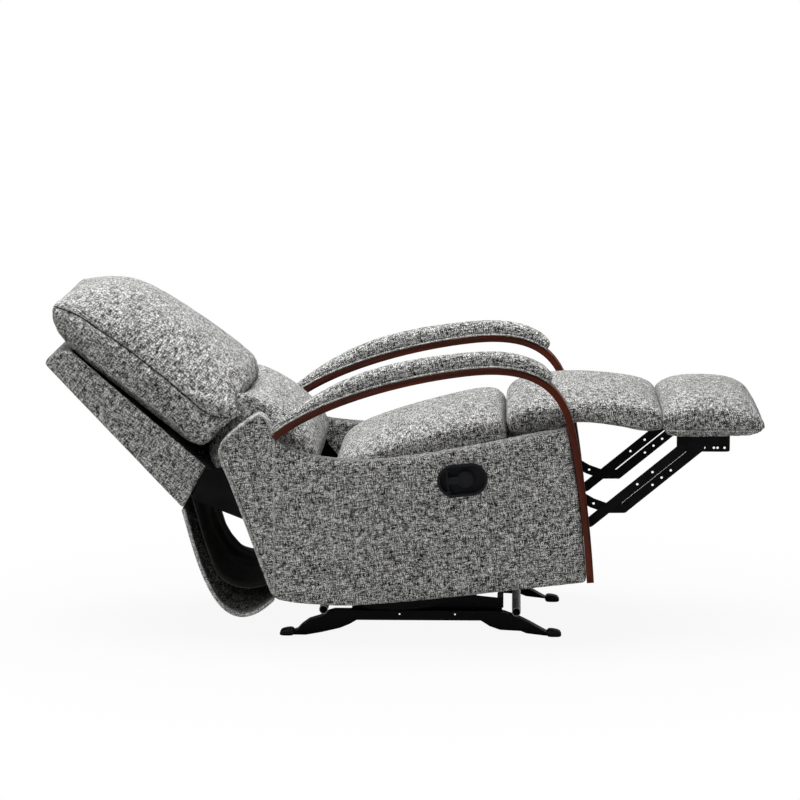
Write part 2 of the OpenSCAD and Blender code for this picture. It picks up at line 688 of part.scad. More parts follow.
// Seat body
function layer_y(k) = -seat_plate_y - plate_t - gap - (k - 1) * layer_pitch - plate_t;
plate_dip = [60, 318];
seat_plate_pts = [seat_pivot, plate_dip, inner_pivot];
frame_rail_w = 24;
frame_rail_h = 30;
seat_frame_half = seat_plate_y - gap;
seat_rise = 6.7;
seat_frame_l = 452;
seat_frame_at = [-128, 326];
module seat_plate(side) {
    color(black_steel) rocked() on_side(side) {
        difference() {
            plate(-seat_plate_y - plate_t, plate_t) {
                bar2d(seat_plate_pts, link_w * 1.5);
                bar2d([tail_pivot, inner_pivot], link_w * 1.3);
                // Flange that the seat frame is screwed to
                polygon([
                    seat_pivot, seat_plate_pts[1], seat_frame_at + polar(seat_frame_l, seat_rise),
                    seat_frame_at + polar(seat_frame_l, seat_rise) + [0, frame_rail_h / 2],
                    seat_frame_at + [0, frame_rail_h / 2]
                ]);
            }
            pin(seat_pivot, pivot_d + 2 * gap, -seat_plate_y - plate_t - over, plate_t + 2 * over);
            pin(inner_pivot, pivot_d + 2 * gap, -seat_plate_y - plate_t - over, plate_t + 2 * over);
            for (s = [0.3, 0.5, 0.7])
                pin(mix(seat_plate_pts[0], seat_plate_pts[1], s), pivot_d, -seat_plate_y - plate_t - over,
                    plate_t + 2 * over);
        }
        // Stud that carries the tail link
        pin(tail_pivot, boss_d, layer_y(layer_tail) + plate_t + gap,
            -seat_plate_y - plate_t - layer_y(layer_tail) - plate_t - gap);
        pin(tail_pivot, pivot_d, layer_y(layer_tail) - gap - head_t,
            -seat_plate_y - plate_t - layer_y(layer_tail) + gap + head_t);
        pin(tail_pivot, boss_d, layer_y(layer_tail) - gap - head_t, head_t);
    }
}

module on_seat_frame() { translate([seat_frame_at[0], 0, seat_frame_at[1]]) rotate([0, -seat_rise, 0]) children(); }

module seat_frame() {
    color(birch) rocked() on_seat_frame() {
        for (x = [0, seat_frame_l - frame_rail_w])
            translate([x, -seat_frame_half, 0]) cube([frame_rail_w, 2 * seat_frame_half, frame_rail_h]);
        for (s = [-1, 1]) translate([0, s * (seat_frame_half - frame_rail_w / 2) - frame_rail_w / 2, 0])
            cube([seat_frame_l, frame_rail_w, frame_rail_h]);
    }
}

// Zigzag seat springs between the front and rear rails, with square bends
wire_d = 3.6;
spring_count = 5;
zig_w = 46;
zig_n = 14;
bend_share = 0.7;
module zigzag2d(l) {
    pitch = l / zig_n;
    bar2d(concat([[0, 0]],
        [for (i = [0:zig_n - 1]) for (s = [1 - bend_share, 1 + bend_share])
            [(i + s / 2) * pitch, (i % 2 == 0 ? -1 : 1) * zig_w / 2]],
        [[l, 0]]), wire_d, 2);
}
module seat_springs() {
    span = 2 * (seat_frame_half - frame_rail_w);
    color(zinc) rocked() on_seat_frame()
        for (i = [0:spring_count - 1])
            translate([frame_rail_w + wire_d / 2 + gap, -span / 2 + span * (i + 0.5) / spring_count,
                frame_rail_h - wire_d])
                linear_extrude(wire_d) zigzag2d(seat_frame_l - 2 * frame_rail_w - wire_d - 2 * gap);
}

soft_clear = 14;
soft_half = half_in - soft_clear;
seat_shares = [
    [0, 0, 0.15, 0.01, 0], [0.99, 0, 0.1, -0.01, 0], [1.01, 0.39, 0.4, -0.01, -0.05],
    [0.995, 0.83, 0.4, -0.02, -0.26], [0.9, 0.99, 0.5, -0.01, -0.3], [0.67, 1, 0.5, 0, -0.3],
    [0.4, 0.96, 0.5, 0, -0.3], [0.18, 0.86, 0.5, 0.02, -0.28], [0.055, 0.66, 0.5, 0.03, -0.2],
    [-0.01, 0.28, 0.4, 0.02, -0.05]
];
seat_back_gap = 24;
module seat_cushion() {
    color(fabric_light) rocked() on_seat_frame()
        cushion(seat_shares, [seat_back_gap, frame_rail_h + gap], seat_l, seat_h, soft_half);
}

chaise_shares = [
    [0, 0.05, 0.15, 0.01, 0.02], [0.21, 0.3, 0.4, 0, 0.02], [0.43, 0.42, 0.5, 0, 0.02],
    [0.7, 0.24, 0.5, 0, 0.02], [0.86, 0.09, 0.5, -0.01, 0.02], [0.99, -0.01, 0.4, -0.03, 0.06],
    [1, 0.3, 0.5, -0.04, 0], [0.93, 0.58, 0.5, -0.05, -0.12], [0.8, 0.76, 0.5, -0.03, -0.2],
    [0.55, 0.93, 0.5, 0, -0.24], [0.3, 1.01, 0.5, 0, -0.26], [0.08, 0.93, 0.5, 0.02, -0.24],
    [-0.018, 0.7, 0.5, 0.03, -0.16], [-0.012, 0.45, 0.4, 0.02, -0.05]
];
chaise_at = [308, 406];
module chaise_pad() {
    color(fabric_light) rocked() cushion(chaise_shares, chaise_at, chaise_l, chaise_h, soft_half);
}

// Links of the footrest's lazy tongs
module pivot_hole(at, k) { pin(at, pivot_d + 2 * gap, layer_y(k) - over, plate_t + 2 * over); }
// Rivet from its own link through the next layer outwards (dir -1) or inwards (dir 1)
module rivet(at, k, dir) {
    y = layer_y(k);
    if (dir < 0) {
        pin(at, pivot_d, y - layer_pitch - gap - head_t, layer_pitch + gap + head_t);
        pin(at, boss_d, y - layer_pitch - gap - head_t, head_t);
    } else {
        pin(at, pivot_d, y + plate_t, layer_pitch + gap + head_t);
        pin(at, boss_d, y + plate_t + layer_pitch + gap, head_t);
    }
}
link_hole_d = 5.5;
module link_holes(a, b, shares, k) {
    for (s = shares) pin(mix(a, b, s), link_hole_d, layer_y(k) - over, plate_t + 2 * over);
}

module inner_link(side) {
    color(black_steel) rocked() on_side(side) {
        difference() {
            plate(layer_y(layer_inner), plate_t) bar2d([inner_pivot, knee, cross_pivot, pair_pivot], link_w);
            link_holes(knee, cross_pivot, [0.1], layer_inner);
            link_holes(inner_pivot, knee, [0.5, 0.7], layer_inner);
        }
        // Spacer and stud through the seat plate
        pin(inner_pivot, boss_d, layer_y(layer_inner) + plate_t, layer_pitch - gap);
        pin(inner_pivot, pivot_d, layer_y(layer_inner) + plate_t,
            -seat_plate_y - layer_y(layer_inner) - plate_t + gap);
        rivet(cross_pivot, layer_inner, -1);
        rivet(pair_pivot, layer_inner, 1);
    }
}

// The tail link is slimmer, so that it folds past the crossing rivet's head
drive_d = 19;
tail_link_w = 16;
module drive_tube() {
    half = seat_plate_y - gap;
    color(black_steel) rocked() pin(inner_pivot, drive_d, -half, 2 * half);
}

module tail_link(side) {
    color(black_steel) rocked() on_side(side) difference() {
        plate(layer_y(layer_tail), plate_t) bar2d([tail_pivot, tail_end], tail_link_w);
        pivot_hole(tail_pivot, layer_tail);
        link_holes(tail_pivot, tail_end, [0.3, 0.5, 0.7], layer_tail);
    }
}

module outer_link_upper(side) {
    color(black_steel) rocked() on_side(side) difference() {
        plate(layer_y(layer_upper), plate_t) bar2d([tail_end, foot_pivot], link_w);
        pivot_hole(cross_pivot, layer_upper);
        pivot_hole(foot_pivot, layer_upper);
        link_holes(cross_pivot, foot_pivot, [0.4, 0.6], layer_upper);
    }
}

module outer_link_lower(side) {
    color(black_steel) rocked() on_side(side) difference() {
        plate(layer_y(layer_lower), plate_t) bar2d([pair_pivot, foot_pair_pivot], link_w);
        pivot_hole(pair_pivot, layer_lower);
        link_holes(pair_pivot, foot_pair_pivot, [0.38, 0.5, 0.62], layer_lower);
    }
}

// Footrest parts, drawn level about the upper outer link's pivot
foot_drop = rock_back;
module on_footrest() { translate([foot_pivot[0], 0, foot_pivot[1]]) rotate([0, foot_drop, 0]) children(); }
bracket_back = 14;
bracket_low = 9;
bracket_top = bracket_h - bracket_low;
flange_w = 20;
pair_local = spin(foot_pair_pivot - foot_pivot, foot_drop);
module footrest_bracket(side) {
    y = layer_y(layer_inner);
    color(black_steel) rocked() on_side(side) on_footrest() {
        difference() {
            union() {
                plate(y, plate_t) polygon(outline(
                    [[0, 0.2, 0.2], [0.1, 0, 0.2], [1, 0, 0.1], [1, 1, 0], [0, 1, 0]],
                    [-bracket_back, -bracket_low], bracket_l, bracket_h));
                translate([-bracket_back, y, bracket_top - plate_t]) cube([bracket_l, flange_w, plate_t]);
                plate(y, plate_t) circle(d = link_w, $fn = round_fn);
            }
            for (s = [0.52, 0.7, 0.77, 0.9])
                pin([-bracket_back + bracket_l * s, 0], link_hole_d, y - over, plate_t + 2 * over);
        }
        pin([0, 0], pivot_d, y - layer_pitch - gap - head_t, layer_pitch + gap + head_t);
        pin([0, 0], boss_d, y - layer_pitch - gap - head_t, head_t);
    }
}

board_run = 44;
board_inset = 26;
board_l = bracket_l + board_run;
board_half = soft_half - board_inset;
module board_solid(grow) {
    translate([-bracket_back - grow, -board_half - grow, bracket_top + gap - grow])
        cube([board_l + 2 * grow, 2 * (board_half + grow), board_t + 2 * grow]);
}
module footrest_board() { color(birch) rocked() on_footrest() board_solid(0); }

foot_pad_shares = [
    [0.07, 0, 0.25, 0.01, 0], [0.45, 0, 0.3, 0, 0], [0.84, 0.03, 0.4, -0.01, 0], [1, 0.16, 0.3, -0.03, 0.02],
    [0.99, 0.33, 0.4, -0.04, -0.04], [0.9, 0.7, 0.5, -0.05, -0.24], [0.76, 0.94, 0.5, -0.03, -0.3],
    [0.45, 1.01, 0.5, 0, -0.3], [0.16, 0.95, 0.5, 0.02, -0.28], [0.01, 0.7, 0.4, 0.04, -0.2],
    [-0.005, 0.25, 0.4, 0.03, -0.04]
];
foot_pad_back = 42.8;
module footrest_pad() {
    color(fabric_light) rocked() on_footrest() difference() {
        cushion(foot_pad_shares, [-foot_pad_back, bracket_top + gap], foot_pad_l, foot_pad_t, soft_half);
        board_solid(gap);
        translate([-bracket_back - gap, -board_half - gap, bracket_top - over])
            cube([board_l + 2 * gap, 2 * (board_half + gap), board_t / 2 + over]);
    }
}

// Back body: local x runs out of the back's face and local z up along it
back_foot = [-388, 449];
module on_back() { translate([back_foot[0], 0, back_foot[1]]) rotate([0, -back_lean, 0]) children(); }
function back_local(p) = spin(p - back_foot, -back_lean);
shell_clear = 8;
shell_half = half_in - shell_clear;
shell_sweep = 18;
// Rows of [depth share, length share] round the outer back, from its foot up its front edge
shell_shares = [[0, 0], [0.13, 0.946], [-0.09, 0.99], [-0.33, 1.014], [-0.44, 1], [-0.56, 0.783], [-0.76, 0.407]];
shell_pts = concat([for (r = shell_shares) [r[0] * shell_deep, r[1] * shell_l]], [[-shell_deep, -shell_sweep]]);
shell_low = back_foot + spin([-shell_deep, -shell_sweep], back_lean);

// Its hollow is open to the pillow in front and, in front of the back frame, below
module back_shell() {
    inner = inset(shell_pts, shell_wall);
    last = len(inner) - 1;
    tight_corner = 4;
    slot_x = -rail_deep - 2 * gap;
    low = -shell_sweep - over;
    high = shell_l + 2 * shell_wall;
    color(fabric) rocked() on_back() difference() {
        plate(-shell_half, 2 * shell_half) polygon(shell_pts);
        plate(-shell_half + shell_wall, 2 * (shell_half - shell_wall)) polygon(concat(
            [[slot_x, low], [shell_deep, low], [shell_deep, high], [0, high]],
            [for (i = [2:last]) if (i != tight_corner) inner[i]],
            [[slot_x, inner[last][1] + shell_sweep * (1 + slot_x / shell_deep)]]
        ));
    }
}

rail_deep = 22;
rail_wide = 40;
frame_half = shell_half - shell_wall - gap;
frame_low = -184;
frame_top = shell_l * 0.9 - gap;
module back_frame() {
    outrigger = back_bracket_y - gap;
    color(lining) rocked() on_back() {
        for (s = [-1, 1]) translate([-rail_deep - gap, s * (frame_half - rail_wide / 2) - rail_wide / 2, frame_low])
            cube([rail_deep, rail_wide, frame_top - frame_low]);
        for (z = [frame_low, rail_wide, frame_top - rail_wide])
            translate([-rail_deep - gap, -frame_half, z]) cube([rail_deep, 2 * frame_half, rail_wide]);
        translate([-rail_deep - gap, -outrigger, frame_low]) cube([rail_deep, 2 * outrigger, rail_wide]);
        for (s = [-1, 1]) translate([-rail_deep - gap, s * (outrigger - rail_wide / 2) - rail_wide / 2, -rail_wide * 2])
            cube([rail_deep, rail_wide, rail_wide]);
    }
}

web_w = 44;
web_t = 2;
web_n = 5;
module back_webbing() {
    color(lining) rocked() on_back()
        for (i = [0:web_n - 1])
            translate([0, -frame_half, mix(frame_low + web_w, frame_top - 2 * web_w, i / (web_n - 1))])
                cube([web_t, 2 * frame_half, web_w]);
}

soft_rear = web_t + gap;
pillow_shares = [
    [0, 0.004, 0.15, 0.09, 0.02], [0.26, 0.066, 0.4, 0, -0.04], [0.484, 0.1, 0.5, -0.05, -0.06],
    [0.664, 0.1, 0.5, -0.21, -0.065], [0.85, 0.025, 0.4, -0.38, 0.025], [0.985, 0.03, 0.4, -0.52, 0.06],
    [1.02, 0.22, 0.5, -0.55, 0], [0.965, 0.551, 0.5, -0.52, 0], [0.875, 0.757, 0.5, -0.45, -0.015],
    [0.664, 0.88, 0.5, -0.26, -0.03], [0.36, 0.97, 0.5, 0.02, -0.06], [0.14, 0.985, 0.4, 0.08, -0.045],
    [0.035, 0.88, 0.4, 0.09, -0.01], [0, 0.7, 0.3, 0.09, 0]
];
pillow_low = 22;
pillow_half = shell_half;
module back_pillow() {
    color(fabric_light) rocked() on_back()
        cushion(pillow_shares, [soft_rear, pillow_low], pillow_t, pillow_l, pillow_half, 3.4);
}

lumbar_shares = [
    [0, 0.075, 0.15, 0.02, 0.02], [0.26, 0.006, 0.4, 0, 0.01], [0.58, -0.018, 0.4, 0, 0.01],
    [0.855, 0, 0.4, -0.02, 0.02], [0.965, 0.163, 0.5, -0.06, 0.01], [1.01, 0.395, 0.5, -0.09, 0],
    [0.985, 0.628, 0.5, -0.12, -0.02], [0.9, 0.77, 0.4, -0.16, -0.06], [0.84, 0.845, 0.4, -0.18, -0.1],
    [0.69, 0.98, 0.5, -0.12, -0.16], [0.5, 0.99, 0.5, -0.05, -0.14], [0.262, 0.93, 0.4, 0, -0.1],
    [0, 0.814, 0.15, 0.02, -0.01]
];
lumbar_low = -192;
lumbar_inset = 6;
module lumbar_cushion() {
    color(fabric_light) rocked() on_back()
        cushion(lumbar_shares, [soft_rear, lumbar_low], lumbar_t, lumbar_l, soft_half - lumbar_inset);
}

// Black steel brackets from the back frame to the recline pivot; rows of
// [share along, share down] of the way from the back's foot to the pivot
back_reach = back_pivot - back_foot;
back_bracket_shares = [[-0.686, 1.246], [-1.188, 0.193], [-1.072, -0.632], [-1.018, -0.912], [-0.605, -0.947]];
module back_bracket(side) {
    y = -back_bracket_y - plate_t;
    color(black_steel) rocked() on_side(side) difference() {
        plate(y, plate_t) {
            polygon(concat(
                [back_pivot + [0, link_w], back_pivot + [link_w * 0.8, -link_w * 0.6]],
                [for (r = back_bracket_shares) back_pivot + [r[0] * back_reach[0], r[1] * back_reach[1]]]
            ));
            translate(back_pivot) circle(r = link_w, $fn = round_fn);
        }
        pin(back_pivot, pivot_d + 2 * gap, y - over, plate_t + 2 * over);
    }
}

// Cloth flap that closes the gap below the outer back, hanging in a loop with
// soft folds across it, and its lining
flap_t = 3;
flap_inset = 4;
flap_half = shell_half - flap_inset;
flap_steps = 12;
fold_depth = 6;
fold_count = 2.5;
fold_stations = 15;
hem_x = rear_rail_x - gap;
flap_hem = [hem_x, rear_rail_z + flap_t];
lining_hem = [hem_x, rear_rail_z + cross_rail_h - flap_t * 3];
lining_in_share = 0.65;
lining_top = back_foot + spin([-shell_deep, -shell_sweep] * lining_in_share - [0, flap_t / 2], back_lean);
// Rows of [share of the way forward, share of the drop] for a loop's two control points
flap_loop_shares = [[0.051, 0.408], [0.113, 1.679]];
lining_loop_shares = [[0.059, 0.637], [0.097, 1.267]];
function loop_curve(top, hem, shares) = concat([top],
    [for (r = shares) top + [r[0] * (hem[0] - top[0]), r[1] * (hem[1] - top[1])]], [hem]);
flap_curve = loop_curve(shell_low - [0, gap], flap_hem, flap_loop_shares);
lining_curve = loop_curve(lining_top, lining_hem, lining_loop_shares);
module hanging(curve) {
    pts = [for (i = [0:flap_steps]) bezier(curve, i / flap_steps)];
    rocked() loft(
        [for (j = [0:fold_stations]) let (wave = fold_depth * cos(360 * fold_count * j / fold_stations),
            face = [for (i = [0:flap_steps])
                pts[i] + left_of(along(pts, i)) * wave * sin(180 * i / flap_steps)],
            back = [for (i = [0:flap_steps]) face[i] + left_of(along(pts, i)) * flap_t])
            concat(face, reversed(back))],
        [for (j = [0:fold_stations]) mix(-flap_half, flap_half, j / fold_stations)], true);
}
module back_flap() { color(fabric) hanging(flap_curve); }
module flap_lining() { color(lining) hanging(lining_curve); }

base_rail(-1);  // base_rail_right
base_rail(1);  // base_rail_left
base_feet();
cross_tube_front();
cross_tube_rear();
spring_strap_front();
spring_strap_rear();
cam_guides();
rocker_springs(-1);  // rocker_springs_right
rocker_springs(1);  // rocker_springs_left
rocker_cam(-1);  // rocker_cam_right
rocker_cam(1);  // rocker_cam_left
cross_member_front();
cross_member_rear();
mechanism_plate(-1);  // mechanism_plate_right
mechanism_plate(1);  // mechanism_plate_left
side_panel(-1);  // side_panel_right
side_panel(1);  // side_panel_left
arm_wood(-1);  // arm_wood_right
arm_wood(1);  // arm_wood_left
arm_pad(-1);  // arm_pad_right
arm_pad(1);  // arm_pad_left
front_rail();
rear_rail();
handle_cup();
release_lever();
release_cable();
panel_bolts();
seat_plate(-1);  // seat_plate_right
seat_plate(1);  // seat_plate_left
seat_frame();
seat_springs();
seat_cushion();
chaise_pad();
inner_link(-1);  // inner_link_right
inner_link(1);  // inner_link_left
drive_tube();
tail_link(-1);  // tail_link_right
tail_link(1);  // tail_link_left
outer_link_upper(-1);  // outer_link_upper_right
outer_link_upper(1);  // outer_link_upper_left
outer_link_lower(-1);  // outer_link_lower_right
outer_link_lower(1);  // outer_link_lower_left
footrest_bracket(-1);  // footrest_bracket_right
footrest_bracket(1);  // footrest_bracket_left
footrest_board();
footrest_pad();
back_bracket(-1);  // back_bracket_right
back_bracket(1);  // back_bracket_left
back_frame();
back_shell();
back_webbing();
back_pillow();
lumbar_cushion();
back_flap();
flap_lining();
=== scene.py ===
import math

import bpy
import numpy as np
from mathutils import Matrix, Vector
from mathutils.bvhtree import BVHTree


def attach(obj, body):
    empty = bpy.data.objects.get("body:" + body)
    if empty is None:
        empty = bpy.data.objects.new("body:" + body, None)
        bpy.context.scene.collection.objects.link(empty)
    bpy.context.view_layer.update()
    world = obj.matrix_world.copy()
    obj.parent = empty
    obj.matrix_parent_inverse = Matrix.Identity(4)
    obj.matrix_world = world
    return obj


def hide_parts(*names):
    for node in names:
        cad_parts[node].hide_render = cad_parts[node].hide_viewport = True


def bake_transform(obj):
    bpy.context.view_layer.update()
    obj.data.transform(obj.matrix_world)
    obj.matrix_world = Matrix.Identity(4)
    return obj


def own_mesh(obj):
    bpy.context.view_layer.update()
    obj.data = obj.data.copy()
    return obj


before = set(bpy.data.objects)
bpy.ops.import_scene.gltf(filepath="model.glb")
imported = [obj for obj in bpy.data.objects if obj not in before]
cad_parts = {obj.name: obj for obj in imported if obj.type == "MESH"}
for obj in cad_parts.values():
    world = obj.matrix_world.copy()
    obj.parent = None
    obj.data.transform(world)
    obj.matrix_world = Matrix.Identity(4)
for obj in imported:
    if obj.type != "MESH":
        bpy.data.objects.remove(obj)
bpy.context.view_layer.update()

# The camera stands far off on the release-handle side, at eye height, with a
# long lens, so that the chair is seen almost in profile and a little from above.
camera_place = Vector((0.2479, -8.8211, 1.6665))
camera_aim = Vector((-0.02976, 0.99114, -0.12949))
lens_mm = 172.0
camera = bpy.data.objects.new("camera", bpy.data.cameras.new("camera"))
camera.data.lens = lens_mm
camera.data.sensor_width = 36.0
camera.data.clip_end = 60.0
camera.location = camera_place
camera.rotation_euler = camera_aim.to_track_quat("-Z", "Y").to_euler()
bpy.context.scene.collection.objects.link(camera)
bpy.context.scene.camera = camera
bpy.context.scene.view_settings.view_transform = "Standard"


def linear(hex_colour):
    """sRGB hex to the linear colour that a shader takes."""
    parts = [int(hex_colour[i:i + 2], 16) / 255 for i in (1, 3, 5)]
    return [*(c / 12.92 if c <= 0.04045 else ((c + 0.055) / 1.055) ** 2.4 for c in parts), 1.0]


def add_node(tree, kind, inputs=None, stops=(), into=None, **settings):
    """Adds a shader node; an input is a value, or the node or socket that feeds it."""
    node = tree.nodes.new("ShaderNode" + kind)
    for key, value in settings.items():
        setattr(node, key, value)
    for key, value in (inputs or {}).items():
        if isinstance(value, bpy.types.Node):
            value = value.outputs[0]
        if isinstance(value, bpy.types.NodeSocket):
            tree.links.new(value, node.inputs[key])
        else:
            node.inputs[key].default_value = value
    for place, colour in stops[1:-1]:
        node.color_ramp.elements.new(place).color = linear(colour)
    for end in (0, -1) if stops else ():
        node.color_ramp.elements[end].position = stops[end][0]
        node.color_ramp.elements[end].color = linear(stops[end][1])
    if into is not None:
        tree.links.new(node.outputs[0], into)
    return node


# Studio: a pale floor and backdrop that the camera sees as white, a large
# soft box overhead, and a weak one from the handle side.
def seen_plainly(tree):
    """1 for rays of the camera and rays that pass through something clear."""
    path = add_node(tree, "LightPath")
    return add_node(tree, "Math", {0: path.outputs["Is Camera Ray"], 1: path.outputs["Is Transmission Ray"]},
                    operation="MAXIMUM")


def white_cove(tree, lit, share):
    """Camera and see-through rays see plain white, with a share of the lit surface near the chair."""
    place = add_node(tree, "TexCoord")
    away = add_node(tree, "VectorMath", {0: place.outputs["Object"]}, operation="LENGTH")
    near = add_node(tree, "MapRange", {0: away.outputs["Value"], 1: 0.5, 2: 1.5, 3: share, 4: 0.0})
    plain = add_node(tree, "Math", {0: 1.0, 1: near}, operation="SUBTRACT")
    white = add_node(tree, "Emission", {"Color": (1, 1, 1, 1), "Strength": 1.0})
    part = add_node(tree, "Math", {0: seen_plainly(tree), 1: plain}, operation="MULTIPLY")
    return add_node(tree, "MixShader", {0: part, 1: lit, 2: white})


floor_radius, shadow_share = 30.0, 0.08
bpy.ops.mesh.primitive_circle_add(vertices=64, radius=floor_radius, fill_type="NGON",
                                  location=(0, 0, -0.0005))
floor = bpy.context.object
floor.name = "studio_floor"
floor_paint = bpy.data.materials.new("matt_pale_grey_floor_paint")
floor_paint.use_nodes = True
floor_tree = floor_paint.node_tree
floor_tree.nodes.clear()
floor_lit = add_node(floor_tree, "BsdfDiffuse", {"Color": linear("#BEBEBC")})
add_node(floor_tree, "OutputMaterial", {"Surface": white_cove(floor_tree, floor_lit, shadow_share)})
floor.data.materials.append(floor_paint)

sky = bpy.data.worlds.new("studio")
bpy.context.scene.world = sky
sky.use_nodes = True
sky_tree = sky.node_tree
sky_tree.nodes.clear()
sky_light = add_node(sky_tree, "Background", {"Color": (1, 1, 1, 1), "Strength": 0.3})
sky_white = add_node(sky_tree, "Background", {"Color": (1, 1, 1, 1), "Strength": 1.0})
sky_mix = add_node(sky_tree, "MixShader", {0: seen_plainly(sky_tree), 1: sky_light, 2: sky_white})
add_node(sky_tree, "OutputWorld", {"Surface": sky_mix})


def softbox(name, place, aim, size, watts):
    lamp = bpy.data.objects.new(name, bpy.data.lights.new(name, "AREA"))
    lamp.data.shape = "RECTANGLE"
    lamp.data.size, lamp.data.size_y = size
    lamp.data.energy = watts
    lamp.location = place
    lamp.rotation_euler = (Vector(aim) - Vector(place)).to_track_quat("-Z", "Y").to_euler()
    bpy.context.scene.collection.objects.link(lamp)


softbox("overhead_softbox", (-0.45, 0.3, 3.4), (-0.05, 0, 0.4), (3.2, 2.4), 165)
softbox("handle_side_softbox", (-1.4, -4.2, 2.3), (0, 0, 0.4), (2.2, 1.8), 26)

# Everything above the base is laid out on the level chair, in millimetres,
# and then tilted with the chair as it stands rocked back on its cams.
mm = 0.001
rocked_back = math.radians(-6.7)
rocking_axis = Vector((40, 0, 60))
middle_x = 17
chair = (Matrix.Scale(mm, 4) @ Matrix.Translation((-middle_x, 0, 0)) @ Matrix.Translation(rocking_axis)
         @ Matrix.Rotation(rocked_back, 4, "Y") @ Matrix.Translation(-rocking_axis))


# Slub tweed: plain weave of uneven polyester yarns, near-black, grey and pale
# mixed, so that single yarns show as short dashes. The real yarn is about
# 1.2 mm; it is drawn at 2.2 mm so that it shows at all.
def new_material(name, constants):
    """Adds a material; its shader's own sockets hold what is the same all over the surface."""
    material = bpy.data.materials.new(name)
    material.use_nodes = True
    surface = material.node_tree.nodes["Principled BSDF"].inputs
    for socket, value in constants.items():
        surface[socket].default_value = value
    return material, material.node_tree, surface


def slub_tweed(name, dark, mid, pale, yarn_mm=2.2):
    cloth, tree, surface = new_material(name, {
        "Roughness": 0.92, "Sheen Weight": 0.12, "Sheen Roughness": 0.5, "Specular IOR Level": 0.2})
    weave = add_node(tree, "UVMap", uv_map="weave")
    grid = add_node(tree, "VectorMath", {0: weave, 1: (1000 / yarn_mm,) * 3}, operation="MULTIPLY")
    wander = add_node(tree, "TexNoise", {"Vector": grid, "Scale": 0.03, "Detail": 1.0},
                      noise_dimensions="2D")
    drift = add_node(tree, "VectorMath", {0: wander.outputs["Color"], 1: (1.6, 1.6, 0), 2: grid},
                     operation="MULTIPLY_ADD")
    cell = add_node(tree, "SeparateXYZ", {0: drift})
    steps = [add_node(tree, "Math", {0: cell.outputs[k]}, operation="FLOOR") for k in (0, 1)]
    tones, waves = [], []
    for across, along, slub_share in ((0, 1, 0.17), (1, 0, 0.13)):
        run = add_node(tree, "Math", {0: cell.outputs[along], 1: slub_share}, operation="MULTIPLY")
        key = add_node(tree, "Math", {0: steps[across], 1: 7.31 + across}, operation="MULTIPLY")
        spot = add_node(tree, "CombineXYZ", {0: key, 1: run})
        tones.append(add_node(tree, "TexNoise", {"Vector": spot, "Scale": 1.0, "Detail": 2.0},
                              noise_dimensions="2D"))
        turn = add_node(tree, "Math", {0: cell.outputs[across], 1: math.pi}, operation="MULTIPLY")
        wave = add_node(tree, "Math", {0: turn}, operation="SINE")
        waves.append(add_node(tree, "Math", {0: wave}, operation="ABSOLUTE"))
    crossing = add_node(tree, "CombineXYZ", {0: steps[0], 1: steps[1]})
    fleck = add_node(tree, "TexWhiteNoise", {"Vector": crossing}, noise_dimensions="2D")
    number = add_node(tree, "Math", {0: steps[0], 1: steps[1]}, operation="ADD")
    over = add_node(tree, "Math", {0: number, 1: 2.0}, operation="FLOORED_MODULO")
    on_top = add_node(tree, "Mix", {0: over, 2: tones[0], 3: tones[1]}, data_type="FLOAT")
    tone = add_node(tree, "Math", {0: fleck, 1: 0.22, 2: on_top}, operation="MULTIPLY_ADD")
    add_node(tree, "ValToRGB", {0: tone}, ((0.475, dark), (0.625, mid), (0.79, pale)), surface["Base Color"])
    height = add_node(tree, "Mix", {0: over, 2: waves[0], 3: waves[1]}, data_type="FLOAT")
    add_node(tree, "Bump", {"Height": height, "Strength": 0.7, "Distance": 0.0009}, into=surface["Normal"])
    return cloth


tweed = slub_tweed("grey_slub_tweed", "#080808", "#8C8C8A", "#F2F2F0")

# Side panels: plywood sides wrapped in thin padding and tweed, with soft
# edges and a rounded ear at the rear, where the arm strip ends.
panel_inner, panel_depth = 292, 58
panel_outer = panel_inner + panel_depth
edge_soft, cup_at, cup_tilt, cup_opening = 9.0, (187, 364), math.radians(0.5), (107.6, 68.6, 26)
arm_length, arm_height, arm_thick, arm_width = 657, 495, 16, 62
arm_at = (-219, 100.3)
arm_curve = [
    [(0, 0.806), (0.143, 0.927), (0.425, 1), (0.676, 1)],
    [(0.676, 1), (0.836, 1), (0.96, 0.948), (0.988, 0.754)],
    [(0.988, 0.754), (1.005, 0.62), (1.014, 0.36), (1, 0)],
]


def bezier(p, t):
    """Point of a curve at a share of its way, from its two ends and the two points that pull it."""
    s = 1 - t
    return p[0] * s ** 3 + 3 * p[1] * s * s * t + 3 * p[2] * s * t * t + p[3] * t ** 3


def arm_line(steps):
    """Underside of the arm strip from its rear end, over the bend, to the foot of its front leg."""
    line = []
    for row, curve in enumerate(arm_curve):
        p = np.array(curve) * (arm_length, arm_height) + arm_at
        line += [bezier(p, t) for t in np.linspace(0, 1, steps + 1)[(row > 0):]]
    return np.array(line)


def rounded(rows, at, length, height, side=0.0):
    """Closed outline from rows of [x share, z share, corner share, side shift x, side shift z]."""
    rows, steps = [[*row, 0, 0][:5] for row in rows], 6
    points = [np.array((at[0] + (r[0] + r[3] * side) * length, at[1] + (r[1] + r[4] * side) * height))
              for r in rows]
    outline = []
    for i, row in enumerate(rows):
        before, here, after = points[i - 1], points[i], points[(i + 1) % len(rows)]
        if row[2] == 0:
            outline.append(here)
            continue
        start, end = here + (before - here) * row[2], here + (after - here) * row[2]
        for k in range(steps):
            t = (k + 0.5) / steps
            outline.append((start * (1 - t) + here * t) * (1 - t) + (here * (1 - t) + end * t) * t)
    return np.array(outline)


def run_along(line):
    """Distance of each point of a line from its start."""
    return np.concatenate([[0], np.cumsum(np.linalg.norm(np.diff(line, axis=0), axis=1))])


